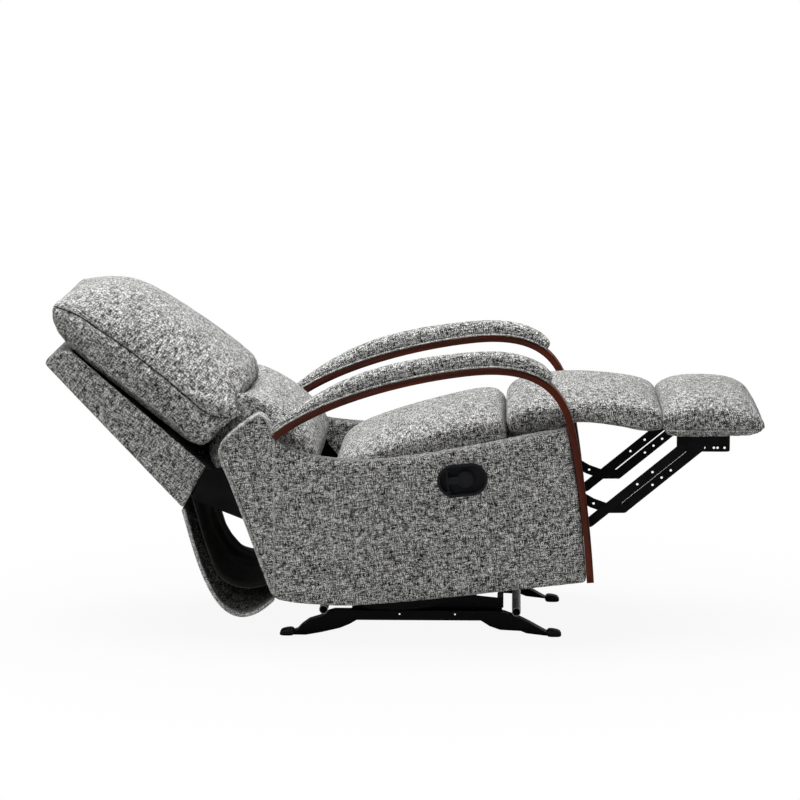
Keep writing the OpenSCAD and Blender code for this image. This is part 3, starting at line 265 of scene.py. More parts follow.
def spaced(line, places):
    """Points of a line at the given distances from its start."""
    return np.stack([np.interp(places, run_along(line), line[:, k]) for k in (0, 1)], axis=1)


def evenly(outline, count):
    """The closed outline again, with its points at equal distances."""
    ring = np.vstack([outline, outline[:1]])
    return spaced(ring, np.linspace(0, run_along(ring)[-1], count, endpoint=False))


def drawn_in(outline, amount):
    """The outline, moved inwards."""
    step = np.roll(outline, -1, axis=0) - np.roll(outline, 1, axis=0)
    step /= np.linalg.norm(step, axis=1)[:, None]
    return outline + np.stack([-step[:, 1], step[:, 0]], axis=1) * amount


def lofted(rings, ys):
    """Closed mesh through outlines of equal count that stand at places along the width."""
    count, last = len(rings[0]), len(rings) - 1
    verts = [(p[0], y, p[1]) for ring, y in zip(rings, ys) for p in ring]
    faces = []
    for j in range(last):
        for i in range(count):
            k = (i + 1) % count
            faces.append((j * count + i, (j + 1) * count + i, (j + 1) * count + k, j * count + k))
    faces.append(tuple(range(count)))
    faces.append(tuple(last * count + i for i in reversed(range(count))))
    return verts, faces


def mesh_object(name, verts, faces, place):
    """New object whose mesh is in metres in the row frame."""
    mesh = bpy.data.meshes.new(name)
    mesh.from_pydata([place @ Vector(v) for v in verts], [], faces)
    mesh.validate()
    piece = bpy.data.objects.new(name, mesh)
    bpy.context.scene.collection.objects.link(piece)
    return piece


def apply_modifiers(piece):
    bpy.context.view_layer.update()
    graph = bpy.context.evaluated_depsgraph_get()
    mesh = bpy.data.meshes.new_from_object(piece.evaluated_get(graph), depsgraph=graph)
    piece.modifiers.clear()
    piece.data = mesh


def points_of(piece):
    flat = np.zeros(len(piece.data.vertices) * 3)
    piece.data.vertices.foreach_get("co", flat)
    return flat.reshape(-1, 3)


def even_skin(piece, cell, smooth_rounds=4):
    """Covers the piece in an even net of faces, as cloth over foam."""
    remesh = piece.modifiers.new("even_net", "REMESH")
    remesh.mode = "VOXEL"
    remesh.voxel_size = cell
    soften = piece.modifiers.new("soften", "SMOOTH")
    soften.factor = 0.5
    soften.iterations = smooth_rounds
    apply_modifiers(piece)


def lay_weave(piece, place, along=None):
    """Gives each face its place on the cloth, in metres, by the way that it faces."""
    back = np.array(place.inverted())
    points = points_of(piece) @ back[:3, :3].T + back[:3, 3]
    if along is not None:
        points = along(points)
    mesh = piece.data
    loops = np.zeros(len(mesh.loops), dtype=int)
    mesh.loops.foreach_get("vertex_index", loops)
    corners = points[loops] * mm
    start = np.zeros(len(mesh.polygons), dtype=int)
    total = np.zeros(len(mesh.polygons), dtype=int)
    mesh.polygons.foreach_get("loop_start", start)
    mesh.polygons.foreach_get("loop_total", total)
    facing = np.cross(corners[start + 1] - corners[start], corners[start + 2] - corners[start + 1])
    facing = np.repeat(np.abs(facing).argmax(axis=1), total)
    pairs = np.array([(1, 2), (0, 2), (1, 0)])[facing]
    uv = np.take_along_axis(corners, pairs, axis=1)
    layer = mesh.uv_layers.new(name="weave")
    layer.data.foreach_set("uv", uv.ravel().astype(np.float32))
    mesh.polygons.foreach_set("use_smooth", [True] * len(mesh.polygons))


def cover(piece, cloth, body, place, along=None):
    lay_weave(piece, place, along)
    piece.data.materials.clear()
    piece.data.materials.append(cloth)
    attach(piece, body)


def cord_tube(name, line, radius, sides=8):
    """Thin round tube along a line of points in metres."""
    line = [Vector(p) for p in line]
    verts, count = [], len(line)
    for i, p in enumerate(line):
        step = (line[min(i + 1, count - 1)] - line[max(i - 1, 0)]).normalized()
        across = step.cross(Vector((0.13, 0.31, 0.94))).normalized()
        lift = step.cross(across)
        for k in range(sides):
            turn = 2 * math.pi * k / sides
            verts.append(p + (across * math.cos(turn) + lift * math.sin(turn)) * radius)
    faces = []
    for i in range(count - 1):
        a, b = i * sides, (i + 1) * sides
        faces += [(a + k, a + (k + 1) % sides, b + (k + 1) % sides, b + k) for k in range(sides)]
    faces += [tuple(range(sides))[::-1], tuple((count - 1) * sides + k for k in range(sides))]
    return mesh_object(name, verts, faces, Matrix())


def stadium_plug(name, size, depth_from, depth_to):
    """Solid with straight sides and round ends, across the width at the handle's place."""
    length, height = size
    ring = []
    for end in (1, -1):
        for k in range(25):
            turn = math.pi * (k / 24 - 0.5)
            x = end * ((length - height) / 2 + height / 2 * math.cos(turn))
            ring.append((x, end * height / 2 * math.sin(turn)))
    c, s = math.cos(-cup_tilt), math.sin(-cup_tilt)
    ring = [(cup_at[0] + x * c - z * s, cup_at[1] + x * s + z * c) for x, z in ring]
    return mesh_object(name, *lofted([ring, ring], [depth_from, depth_to]), chair)


def carve(piece, tool):
    cut = piece.modifiers.new("carve", "BOOLEAN")
    cut.operation = "DIFFERENCE"
    cut.object = tool
    apply_modifiers(piece)
    bpy.data.objects.remove(tool)


panel_length, panel_height, panel_front = 789, 466, 438
panel_at = (panel_front - panel_length, 100)
panel_low = [[0.096, 0.14, 0.35], [0.11, 0.084, 0.3], [0.18, 0.05, 0.4], [0.32, 0.01, 0.4], [0.55, 0, 0.3]]
panel_top = [
    [0.9, 0.745, 0.3], [0.78, 0.724, 0.4], [0.6, 0.705, 0.4], [0.458, 0.7, 0.4], [0.373, 0.714, 0.4],
    [0.261, 0.757, 0.4], [0.207, 0.8, 0.4], [0.17, 0.86, 0.4], [0.155, 0.955, 0.35], [0.136, 1, 0.4],
    [0.112, 0.99, 0.4], [0.06, 0.94, 0.3], [0.01, 0.88, 0.4], [-0.002, 0.83, 0.4], [0.004, 0.77, 0.4],
    [0.018, 0.7, 0.4], [0.062, 0.39, 0.3],
]
leg_line = [p for p in reversed(arm_line(9)) if p[0] > panel_front - panel_length / 10
            and p[1] < panel_at[1] + panel_height * 0.76]
panel_rows = (
    panel_low
    + [[(p[0] - 0.3 - panel_at[0]) / panel_length, (p[1] - panel_at[1]) / panel_height, 0] for p in leg_line]
    + panel_top
)
panel_outline = evenly(rounded(panel_rows, panel_at, panel_length, panel_height), 260)

# Paler copy of the tweed for welting and hems: a painted highlight where their rounded edges catch the
# light.
painted_highlight_tweed = slub_tweed("tweed_edge_painted_highlight", "#6A6A68", "#B8B8B6", "#F0F0EE")
for side, name in ((-1, "right"), (1, "left")):
    rings, ys = [], []
    for k in range(7):
        turn = math.pi / 2 * k / 6
        rings.append(drawn_in(panel_outline, edge_soft * (1 - math.sin(turn))))
        ys.append(side * (panel_outer - edge_soft * (1 - math.cos(turn))))
    rings, ys = rings + [panel_outline], ys + [side * (panel_inner + 2)]
    if side > 0:
        rings, ys = rings[::-1], ys[::-1]
    panel = mesh_object(f"padded_side_{name}", *lofted(rings, ys), chair)
    even_skin(panel, cell=0.007, smooth_rounds=2)
    if side < 0:
        carve(panel, stadium_plug("cup_cut", cup_opening[:2], -panel_outer - 5,
                                  cup_opening[2] - panel_outer))
    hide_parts(f"side_panel_{name}")
    cover(panel, tweed, "chassis", chair)
    # Rear-edge welting, in the paler tweed that paints a highlight along it.
    rim = drawn_in(panel_outline, 3.4)
    rear_edge = [chair @ Vector((p[0], side * (panel_outer - 1.6), p[1])) for p in rim
                 if p[0] < panel_at[0] + panel_length * 0.165 and p[1] > panel_at[1] + 45]
    welting = cord_tube(f"side_welting_{name}", rear_edge, radius=0.0034)
    cover(welting, painted_highlight_tweed, "chassis", chair)

# Arm strips: one beech strip a side, steam bent from the rear of the arm over
# the front bend down to the floor end of its leg, stained mahogany and
# lacquered to a satin gloss.
arm_middle = panel_inner + panel_depth / 2


def lacquered_mahogany(name, dark, light):
    """Grain runs along the strip; pores and bands are drawn 3 times coarser than real ones."""
    wood, tree, surface = new_material(name, {
        "Roughness": 0.36, "Specular IOR Level": 0.2, "Coat Weight": 0.08, "Coat Roughness": 0.12})
    strip = add_node(tree, "UVMap", uv_map="weave")
    noises = []
    for scale, detail, distortion in (((5.0, 90.0, 1.0), 5.0, 0.6), ((70.0, 1100.0, 1.0), 2.0, 0.0)):
        place = add_node(tree, "VectorMath", {0: strip, 1: scale}, operation="MULTIPLY")
        noises.append(add_node(tree, "TexNoise", {"Vector": place, "Scale": 1.0, "Detail": detail,
                                                  "Distortion": distortion}))
    band, pore = noises
    tone = add_node(tree, "Mix", {0: 0.3, 2: band, 3: pore}, data_type="FLOAT")
    add_node(tree, "ValToRGB", {0: tone}, ((0.36, dark), (0.66, light)), surface["Base Color"])
    add_node(tree, "Bump", {"Height": pore, "Strength": 0.15, "Distance": 0.0003}, into=surface["Normal"])
    return wood


def left_of(line):
    """Unit normals to the left of a line of points."""
    step = np.vstack([line[1:2] - line[:1], line[2:] - line[:-2], line[-1:] - line[-2:-1]])
    step /= np.linalg.norm(step, axis=1)[:, None]
    return np.stack([-step[:, 1], step[:, 0]], axis=1)


mahogany = lacquered_mahogany("satin_lacquered_mahogany", "#1A0701", "#6A2203")
arm_run_line = arm_line(60)
arm_run = run_along(arm_run_line)
arm_left = left_of(arm_run_line)


def unbent(points):
    """Level-chair millimetres to [run along the strip, across, height over its underside]."""
    best = np.full(len(points), 1e9)
    run, rise = np.zeros(len(points)), np.zeros(len(points))
    for i, (p, n) in enumerate(zip(arm_run_line, arm_left)):
        rel = points[:, (0, 2)] - p
        far = np.hypot(rel[:, 0], rel[:, 1])
        closer = far < best
        best = np.where(closer, far, best)
        run = np.where(closer, arm_run[i] + rel @ np.array((n[1], -n[0])), run)
        rise = np.where(closer, rel @ n, rise)
    return np.stack([run, points[:, 1], rise], axis=1)


def swept(line, sections, middle):
    """Mesh along a bent line; each section is a ring of [across, height over the line]."""
    normals = left_of(line)
    count = len(sections[0])
    verts = [(p[0] + n[0] * up, middle + across, p[1] + n[1] * up)
             for p, n, ring in zip(line, normals, sections) for across, up in ring]
    faces = []
    for j in range(len(line) - 1):
        for k in range(count):
            q = (k + 1) % count
            faces.append((j * count + k, j * count + q, (j + 1) * count + q, (j + 1) * count + k))
    faces.append(tuple(reversed(range(count))))
    faces.append(tuple((len(line) - 1) * count + k for k in range(count)))
    return verts, faces


def soft_box(width, low, high, radius):
    """Ring of [across, up] with rounded corners."""
    ring, steps = [], 4
    corners = ((1, high, 0), (-1, high, 90), (-1, low, 180), (1, low, 270))
    for sx, z, start in corners:
        cz = z - radius if z == high else z + radius
        for k in range(steps + 1):
            turn = math.radians(start + 90 * k / steps)
            ring.append((sx * (width / 2 - radius) + radius * math.cos(turn),
                         cz + radius * math.sin(turn)))
    return ring


strip_section = soft_box(arm_width, 0, arm_thick, radius=3.2)
strip_line = arm_line(22)
for side, name in ((-1, "right"), (1, "left")):
    strip = mesh_object(f"bent_strip_{name}",
                        *swept(strip_line, [strip_section] * len(strip_line), side * arm_middle), chair)
    foot_screw = cord_tube("screw_cut", [chair @ Vector((x, side * arm_middle, 132)) for x in (430, 470)],
                           radius=0.003, sides=20)
    carve(strip, foot_screw)
    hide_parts(f"arm_wood_{name}")
    cover(strip, mahogany, "chassis", chair, unbent)

# Arm pads: foam under a tweed sleeve, stapled along the strip's top and
# finished with a turned hem just over the wood, drawn in a paler tweed as a painted highlight along that
# edge.
pad_thick = 35
pad_rises = [0.2, 0.36, 0.52, 0.7, 0.88, 0.98, 1, 0.97, 0.92, 0.89, 0.89, 0.89, 0.86, 0.8, 0.69, 0.43]
pad_section = [(-0.5, 0), (-0.52, 0.34), (-0.46, 0.68), (-0.3, 0.92), (0, 1), (0.3, 0.92), (0.46, 0.68),
               (0.52, 0.34), (0.5, 0)]
pad_coarse = arm_line(9)[:16]
pad_coarse = pad_coarse + left_of(arm_line(9))[:16] * arm_thick
pad_run = run_along(pad_coarse)
pad_places = np.linspace(0, pad_run[-1], 64)
pad_line = spaced(pad_coarse, pad_places)
pad_heights = np.interp(pad_places, pad_run, pad_rises) * pad_thick


def move_points(piece, points):
    piece.data.vertices.foreach_set("co", np.ascontiguousarray(points, dtype=np.float32).ravel())
    piece.data.update()


def fill_out(piece, cap, widest=None, pressure=4.0, slack=-0.04):
    """Swells the cover under its filling's pressure; no point moves further than the cap."""
    before = points_of(piece)
    cloth = piece.modifiers.new("cloth", "CLOTH")
    cloth.settings.use_pressure = True
    cloth.settings.uniform_pressure_force = pressure
    cloth.settings.shrink_min = slack
    cloth.settings.quality = 4
    cloth.settings.effector_weights.gravity = 0
    cloth.collision_settings.use_collision = False
    stage = bpy.context.scene
    for number in range(1, 21):
        stage.frame_set(number)
    graph = bpy.context.evaluated_depsgraph_get()
    swollen = piece.evaluated_get(graph).to_mesh()
    after = np.zeros(len(before) * 3)
    swollen.vertices.foreach_get("co", after)
    after = after.reshape(-1, 3)
    piece.evaluated_get(graph).to_mesh_clear()
    piece.modifiers.clear()
    stage.frame_set(1)
    step = after - before
    far = np.linalg.norm(step, axis=1)
    after = before + step * (np.minimum(far, cap) / np.maximum(far, 1e-9))[:, None]
    if widest is not None:
        after[:, 1] = np.clip(after[:, 1], -widest, widest)
    move_points(piece, after)


def finer(piece):
    net = piece.modifiers.new("finer", "SUBSURF")
    net.levels = net.render_levels = 1
    apply_modifiers(piece)


for side, name in ((-1, "right"), (1, "left")):
    sections = [[(a * arm_width, 0.4 + b * h) for a, b in pad_section] for h in pad_heights]
    pad = mesh_object(f"padded_arm_{name}", *swept(pad_line, sections, side * arm_middle), chair)
    even_skin(pad, cell=0.005, smooth_rounds=5)
    fill_out(pad, cap=0.004, pressure=3.0, slack=-0.03)
    finer(pad)
    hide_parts(f"arm_pad_{name}")
    cover(pad, tweed, "chassis", chair, unbent)
    normals = left_of(pad_line)
    for edge, face in ((-1, "outer"), (1, "inner")):
        hem_line = [chair @ Vector((p[0] + n[0] * 2.6, side * arm_middle + edge * (arm_width / 2 + 0.6),
                                    p[1] + n[1] * 2.6)) for p, n in zip(pad_line, normals)]
        hem = cord_tube(f"arm_hem_{name}_{face}", hem_line, radius=0.0022)
        cover(hem, painted_highlight_tweed, "chassis", chair, unbent)

# Seat cushion: foam block in a sewn tweed cover, crowned along the middle and
# rolled over at the front edge.
on_seat = chair @ Matrix.Translation((-128, 0, 326)) @ Matrix.Rotation(rocked_back, 4, "Y")
seat_rows = [
    [0, 0, 0.15, 0.01, 0], [0.99, 0, 0.1, -0.01, 0], [1.01, 0.39, 0.4, -0.01, -0.05],
    [1.0, 0.83, 0.4, -0.01, -0.22], [0.9, 0.99, 0.5, -0.01, -0.3], [0.67, 1, 0.5, 0, -0.3],
    [0.4, 0.96, 0.5, 0, -0.3], [0.18, 0.86, 0.5, 0.02, -0.28], [0.055, 0.66, 0.5, 0.03, -0.2],
    [-0.01, 0.28, 0.4, 0.02, -0.05],
]
soft_half = panel_inner - 14
widest = (panel_inner - 1.5) * mm


def stuffed(rows, at, length, height, half_width, power):
    """Cushion whose outline draws in towards its side faces, which swell a little."""
    count, bulge = 110, 8.0
    shares = np.sin(np.linspace(-1, 1, 41) * math.pi / 2)
    rings = [evenly(rounded(rows, at, length, height, abs(s) ** power), count) for s in shares]
    ys = [s * half_width for s in shares]
    domes = []
    for k in (0.93, 0.8, 0.6, 0.35, 0.12):
        centre = rings[-1].mean(axis=0)
        domes.append((centre + (rings[-1] - centre) * k, bulge * math.sqrt(1 - k * k)))
    rings = [ring for ring, _ in reversed(domes)] + rings + [ring for ring, _ in domes]
    ys = ([-half_width - rise for _, rise in reversed(domes)] + ys
          + [half_width + rise for _, rise in domes])
    return lofted(rings, ys)


def sewn_cushion(name, rows, at, size, half_width, place, cap, power=3.6):
    """Stuffed cushion whose cover swells over its filling by at most the cap, in metres."""
    cushion = mesh_object(name, *stuffed(rows, at, *size, half_width, power), place)
    even_skin(cushion, cell=0.007)
    fill_out(cushion, cap, widest)
    finer(cushion)
    return cushion


seat_pad = sewn_cushion("stuffed_seat", seat_rows, (24, 30.3), (411, 106), soft_half, on_seat, cap=0.004)
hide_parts("seat_cushion")
cover(seat_pad, tweed, "seat", on_seat)

# Chaise pad: a thinner stuffed pad that runs from the seat's front edge over
# the linkage to the footrest; it is attached to the seat and moves with it.
chaise_rows = [
    [0, 0.05, 0.15, 0.01, 0.3], [0.21, 0.3, 0.4, 0, 0.08], [0.43, 0.42, 0.5, 0, 0.02],
    [0.7, 0.24, 0.5, 0, 0.02], [0.86, 0.09, 0.5, -0.01, 0.02], [1, -0.01, 0.4, -0.01, 0.04],
    [1.01, 0.3, 0.5, -0.01, 0], [0.95, 0.58, 0.5, -0.02, -0.1], [0.8, 0.76, 0.5, -0.02, -0.18],
    [0.55, 0.93, 0.5, 0, -0.24], [0.3, 1.01, 0.5, 0, -0.26], [0.06, 0.95, 0.5, 0, -0.22],
    [-0.035, 0.72, 0.5, 0.005, -0.14], [-0.03, 0.4, 0.4, 0, 0.06],
]


def normals_of(piece):
    flat = np.zeros(len(piece.data.vertices) * 3)
    piece.data.vertices.foreach_get("normal", flat)
    return flat.reshape(-1, 3)


def smooth_line(points):
    """More points on a soft curve through the given ones."""
    points = [Vector(p) for p in points]
    points = [points[0] * 2 - points[1]] + points + [points[-1] * 2 - points[-2]]
    out, per_step = [], 8
    for a, b, c, d in zip(points, points[1:], points[2:], points[3:]):
        for k in range(per_step):
            t = k / per_step
            out.append(0.5 * (2 * b + (c - a) * t + (2 * a - 5 * b + 4 * c - d) * t * t
                              + (3 * b - a - 3 * c + d) * t ** 3))
    return out + [points[-2]]


def onto_skin(piece, points, direction):
    """Brings points in metres along a direction onto the outside of the piece."""
    skin = BVHTree.FromPolygons([v.co for v in piece.data.vertices],
                                [p.vertices for p in piece.data.polygons])
    direction, reach = Vector(direction).normalized(), 0.6
    found = []
    for p in points:
        hit = skin.ray_cast(p - direction * reach, direction)[0]
        found.append(hit if hit is not None else skin.find_nearest(p - direction * reach)[0])
    return found


def stitch(piece, line, depth, width, pucker=0.0, spacing=0.03):
    """Draws the skin in along a stitched line, with small puckers beside it."""
    line = np.array([tuple(p) for p in line])
    points, normals = points_of(piece), normals_of(piece)
    least = np.full(len(points), 1e9)
    run_at = np.zeros(len(points))
    run = 0.0
    for a, b in zip(line, line[1:]):
        d = b - a
        length = np.linalg.norm(d)
        t = np.clip((points - a) @ d / max(length * length, 1e-12), 0, 1)
        dist = np.linalg.norm(points - a - t[:, None] * d, axis=1)
        closer = dist < least
        least = np.where(closer, dist, least)
        run_at = np.where(closer, run + t * length, run_at)
        run += length
    drawn = depth * np.exp(-(least / width) ** 2)
    beside = np.exp(-(least / (width * 5)) ** 2) * (1 - np.exp(-(least / width) ** 2))
    wave = np.sin(run_at * 2 * math.pi / spacing + 2.1 * np.sin(run_at * 41.0))
    move_points(piece, points - normals * (drawn + pucker * beside * wave)[:, None])


chaise = sewn_cushion("stuffed_chaise", chaise_rows, (308, 406), (345, 119), soft_half, chair, cap=0.003)
tuck_line = [(300, 450), (327, 452), (373, 454), (440, 463)]
for side in (-1, 1):
    tuck = [chair @ Vector((x, side * soft_half, z)) for x, z in tuck_line]
    tuck = smooth_line(onto_skin(chaise, tuck, (0, -side, 0)))
    stitch(chaise, tuck, depth=0.008, width=0.0045, pucker=0.001, spacing=0.05)
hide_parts("chaise_pad")
cover(chaise, tweed, "seat", chair)
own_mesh(chaise)

# Footrest pad: foam in a tweed cover over the board, with a corded seam round
# it a finger's width above its underside.
foot_hinge = (687.34, 368.53)
on_footrest = (chair @ Matrix.Translation((foot_hinge[0], 0, foot_hinge[1]))
               @ Matrix.Rotation(-rocked_back, 4, "Y"))
foot_rows = [
    [0.05, 0, 0.25, 0, 0], [0.45, 0, 0.3, 0, 0], [0.84, 0.03, 0.4, -0.01, 0],
    [1, 0.16, 0.3, -0.01, 0.02], [0.99, 0.33, 0.4, -0.02, -0.04], [0.9, 0.68, 0.5, -0.03, -0.22],
    [0.74, 0.93, 0.5, -0.03, -0.28],
    [0.45, 0.99, 0.5, 0, -0.28], [0.16, 0.94, 0.5, 0.01, -0.24], [-0.005, 0.7, 0.4, 0.01, -0.16],
    [-0.03, 0.25, 0.4, 0, -0.02],
]
foot_pad = sewn_cushion("stuffed_footrest", foot_rows, (-42.8, 28.3), (232, 90), soft_half, on_footrest,
                        cap=0.003)
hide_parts("footrest_pad")
welt_height = 41.0


def welt_side(side):
    """The welt's run along one side of the pad, from rear to front at the right and back at the left."""
    run = [on_footrest @ Vector((x, side * soft_half, welt_height))
           for x in np.linspace(-30, 172, 26)[::-side]]
    return onto_skin(foot_pad, run, (0, -side, 0))


welt_front = [on_footrest @ Vector((190, y, welt_height + 2)) for y in np.linspace(-255, 255, 40)]
welt_points = welt_side(-1) + onto_skin(foot_pad, welt_front, (-1, 0, 0)) + welt_side(1)
stitch(foot_pad, welt_points, depth=0.003, width=0.006, pucker=0.001, spacing=0.04)
# The welt's tube takes the paler tweed, a painted highlight along the seam.
foot_welt = cord_tube("footrest_welt", welt_points, radius=0.0024)
cover(foot_welt, painted_highlight_tweed, "footrest", on_footrest)
cover(foot_pad, tweed, "footrest", on_footrest)

# Outer back: hardboard and batten shell, padded thinly and covered in tweed,
# open in front where the back cushions stand in it.
back_foot, back_lean = (-388, 449), math.radians(44.4)
on_back = (chair @ Matrix.Translation((back_foot[0], 0, back_foot[1]))
           @ Matrix.Rotation(-back_lean, 4, "Y"))
shell_deep, shell_long, shell_wall = 108, 428, 14
shell_half = panel_inner - 8
shell_shares = [[0, 0], [0.13, 0.946], [-0.09, 0.99], [-0.33, 1.014], [-0.44, 1], [-0.56, 0.783],
                [-0.76, 0.407]]
shell_line = [(x * shell_deep, z * shell_long) for x, z in shell_shares] + [(-shell_deep, -18)]
shell_side = evenly(np.array(shell_line), 120)
outer_line = np.array(shell_line[1:] + [(-22.6, -3.8)])
fine_line = spaced(outer_line, np.linspace(0, run_along(outer_line)[-1], 110))
shell_band = np.vstack([fine_line, (fine_line + left_of(fine_line) * shell_wall)[::-1]])


def joined(*meshes):
    """One mesh of several, each given by its points and faces."""
    verts, faces = [], []
    for more_verts, more_faces in meshes:
        faces += [tuple(i + len(verts) for i in face) for face in more_faces]
        verts += more_verts
    return verts, faces


shell = mesh_object("covered_outer_back", *joined(
    lofted([shell_band, shell_band], [-shell_half, shell_half]),
    lofted([shell_side, shell_side], [-shell_half, -shell_half + shell_wall]),
    lofted([shell_side, shell_side], [shell_half - shell_wall, shell_half])), on_back)
even_skin(shell, cell=0.005, smooth_rounds=3)
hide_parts("back_shell")
cover(shell, tweed, "back", on_back)

# Head pillow: the thick upper back cushion, loosely filled fibre, with a
# boxing strip sewn all round it that shows as a seam line on its side; a thin
# dark tube along that seam is a painted shadow line of the seam's groove.
pillow_rows = [
    [0, 0.004, 0.15, 0.13, 0.016], [0.26, 0.066, 0.4, 0.06, -0.06], [0.484, 0.1, 0.4, 0, -0.1],
    [0.664, 0.1, 0.2, 0, -0.14], [0.85, 0.025, 0.3, -0.17, 0.01], [0.985, 0.03, 0.4, -0.4, 0.07],
    [1.01, 0.22, 0.5, -0.52, 0], [0.955, 0.551, 0.5, -0.51, 0], [0.865, 0.757, 0.5, -0.44, -0.015],
    [0.664, 0.88, 0.5, -0.26, -0.01], [0.36, 0.985, 0.15, -0.04, 0.005], [0.13, 0.96, 0.2, 0.08, -0.04],
    [0.035, 0.86, 0.4, 0.09, 0], [0, 0.7, 0.3, 0.09, 0],
]
# Near-black tweed for the tube along each boxing seam: a painted shadow line of the seam's groove.
painted_seam_shadow = slub_tweed("painted_seam_shadow_line", "#060606", "#1A1A1A", "#3A3A3A")
boxing_seam = [(68, 496), (79, 466), (88, 433), (92, 384), (96, 333), (98, 285), (99, 233), (99, 183),
               (97, 123), (96, 85), (103, 55), (122, 28), (140, 8)]
pillow = sewn_cushion("stuffed_head_pillow", pillow_rows, (2.3, 22), (214, 486), shell_half, on_back,
                      cap=0.004, power=3.4)
for side, side_name in ((-1, "right"), (1, "left")):
    seam = [on_back @ Vector((x, side * shell_half, z)) for x, z in boxing_seam]
    seam = smooth_line(onto_skin(pillow, seam, (0, -side, 0)))
    stitch(pillow, seam, depth=0.005, width=0.012, pucker=0.0022, spacing=0.045)
    stitch(pillow, seam, depth=0.004, width=0.0045)
    # Thin dark tube on the seam, coloured as its painted shadow.
    seam_shadow_tube = cord_tube(f"pillow_seam_shadow_{side_name}", onto_skin(pillow, seam, (0, -side, 0)), radius=0.0014)
    cover(seam_shadow_tube, painted_seam_shadow, "back", on_back)
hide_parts("back_pillow")
cover(pillow, tweed, "back", on_back)

# Lumbar cushion: a second, shorter cushion below the pillow; it is attached
# to the back and moves with it.
lumbar_rows = [
    [0, 0.075, 0.15, 0.02, 0.02], [0.26, 0.006, 0.4, 0, 0.01], [0.58, -0.018, 0.4, 0, 0.01],
    [0.855, 0, 0.4, -0.02, 0.02], [0.965, 0.163, 0.5, -0.06, 0.01], [1.01, 0.395, 0.5, -0.07, 0],
    [0.985, 0.628, 0.5, -0.05, 0.02], [0.9, 0.77, 0.4, -0.02, 0.08], [0.84, 0.845, 0.4, -0.04, 0.13],
    [0.69, 0.98, 0.5, 0.05, -0.1], [0.5, 0.99, 0.5, 0.1, -0.34], [0.262, 0.93, 0.4, 0, -0.36],
    [0, 0.814, 0.15, 0.02, -0.26],
]
lumbar = sewn_cushion("stuffed_lumbar", lumbar_rows, (2.3, -192), (209, 258), soft_half - 6, on_back,
                      cap=0.006)
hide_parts("lumbar_cushion")
cover(lumbar, tweed, "back", on_back)
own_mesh(lumbar)

# Flap: tweed cloth that hangs in a loop from the foot of the outer back to
# the rear rail, so that no gap opens as the back goes down; its charcoal
# lining hangs inside it.
flap_half, flap_thick = shell_half - 4, 2.4
fold_deep, fold_count = 6, 2.5
hem_x, hem_z = -258.2, 140.1
flap_shares = [(0.051, 0.408), (0.113, 1.679)]
liner_shares, liner_rise, liner_part = [(0.059, 0.637), (0.097, 1.267)], 30, 0.65


def charcoal_lining(name, dark, light):
    """Bonded polyester lining; its fibre clumps are drawn 4 times too large."""
    cloth, tree, surface = new_material(name, {"Roughness": 0.9, "Specular IOR Level": 0.2})
    place = add_node(tree, "TexCoord").outputs["Object"]
    fibre = add_node(tree, "TexNoise", {"Vector": place, "Scale": 420.0, "Detail": 3.0})
    cloud = add_node(tree, "TexNoise", {"Vector": place, "Scale": 14.0, "Detail": 2.0})
    tone = add_node(tree, "Mix", {0: 0.35, 2: fibre, 3: cloud}, data_type="FLOAT")
    add_node(tree, "ValToRGB", {0: tone}, ((0.35, dark), (0.65, light)), surface["Base Color"])
    add_node(tree, "Bump", {"Height": fibre, "Strength": 0.3, "Distance": 0.0004}, into=surface["Normal"])
    return cloth


def from_back(x, z):
    """A point of the back in the level chair's millimetres."""
    c, s = math.cos(back_lean), math.sin(back_lean)
    return np.array((back_foot[0] + x * c - z * s, back_foot[1] + x * s + z * c))


def loop_between(top, hem, shares):
    """The cloth's two edges and the two points that pull its loop down between them."""
    return [top, *(top + (hem - top) * np.array(share) for share in shares), hem]


def hanging(name, curve, tilt):
    """Cloth hung between two edges along the loop of a curve, with folds across it."""
    loops, stations = 40, 90
    t = np.linspace(0, 1, loops)[:, None]
    p = bezier(curve, t)
    normals = left_of(p)
    verts = []
    for j in range(stations + 1):
        share = j / stations
        wave = fold_deep * math.cos(2 * math.pi * fold_count * share)
        for i in range(loops):
            run = i / (loops - 1)
            small = 2.2 * math.sin(19 * share + 5 * run + tilt) * math.sin(9 * run * math.pi * 0.5)
            small += 2.4 * math.sin(2 * math.pi * 9 * share + 2.2 * math.sin(4 * run + tilt))
            lift = (wave + small) * math.sin(math.pi * run)
            q = p[i] + normals[i] * lift
            verts.append((q[0], -flap_half + 2 * flap_half * share, q[1]))
    faces = [(j * loops + i, j * loops + i + 1, (j + 1) * loops + i + 1, (j + 1) * loops + i)
             for j in range(stations) for i in range(loops - 1)]
    cloth = mesh_object(name, verts, faces, chair)
    thicken = cloth.modifiers.new("thickness", "SOLIDIFY")
    thicken.thickness = flap_thick * mm
    thicken.offset = 0
    thicken.material_offset = 1
    apply_modifiers(cloth)
    return cloth


def hang_with_back(piece):
    """Bakes the cloth's place into its mesh; it is not attached to the seat or the back."""
    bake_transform(piece)


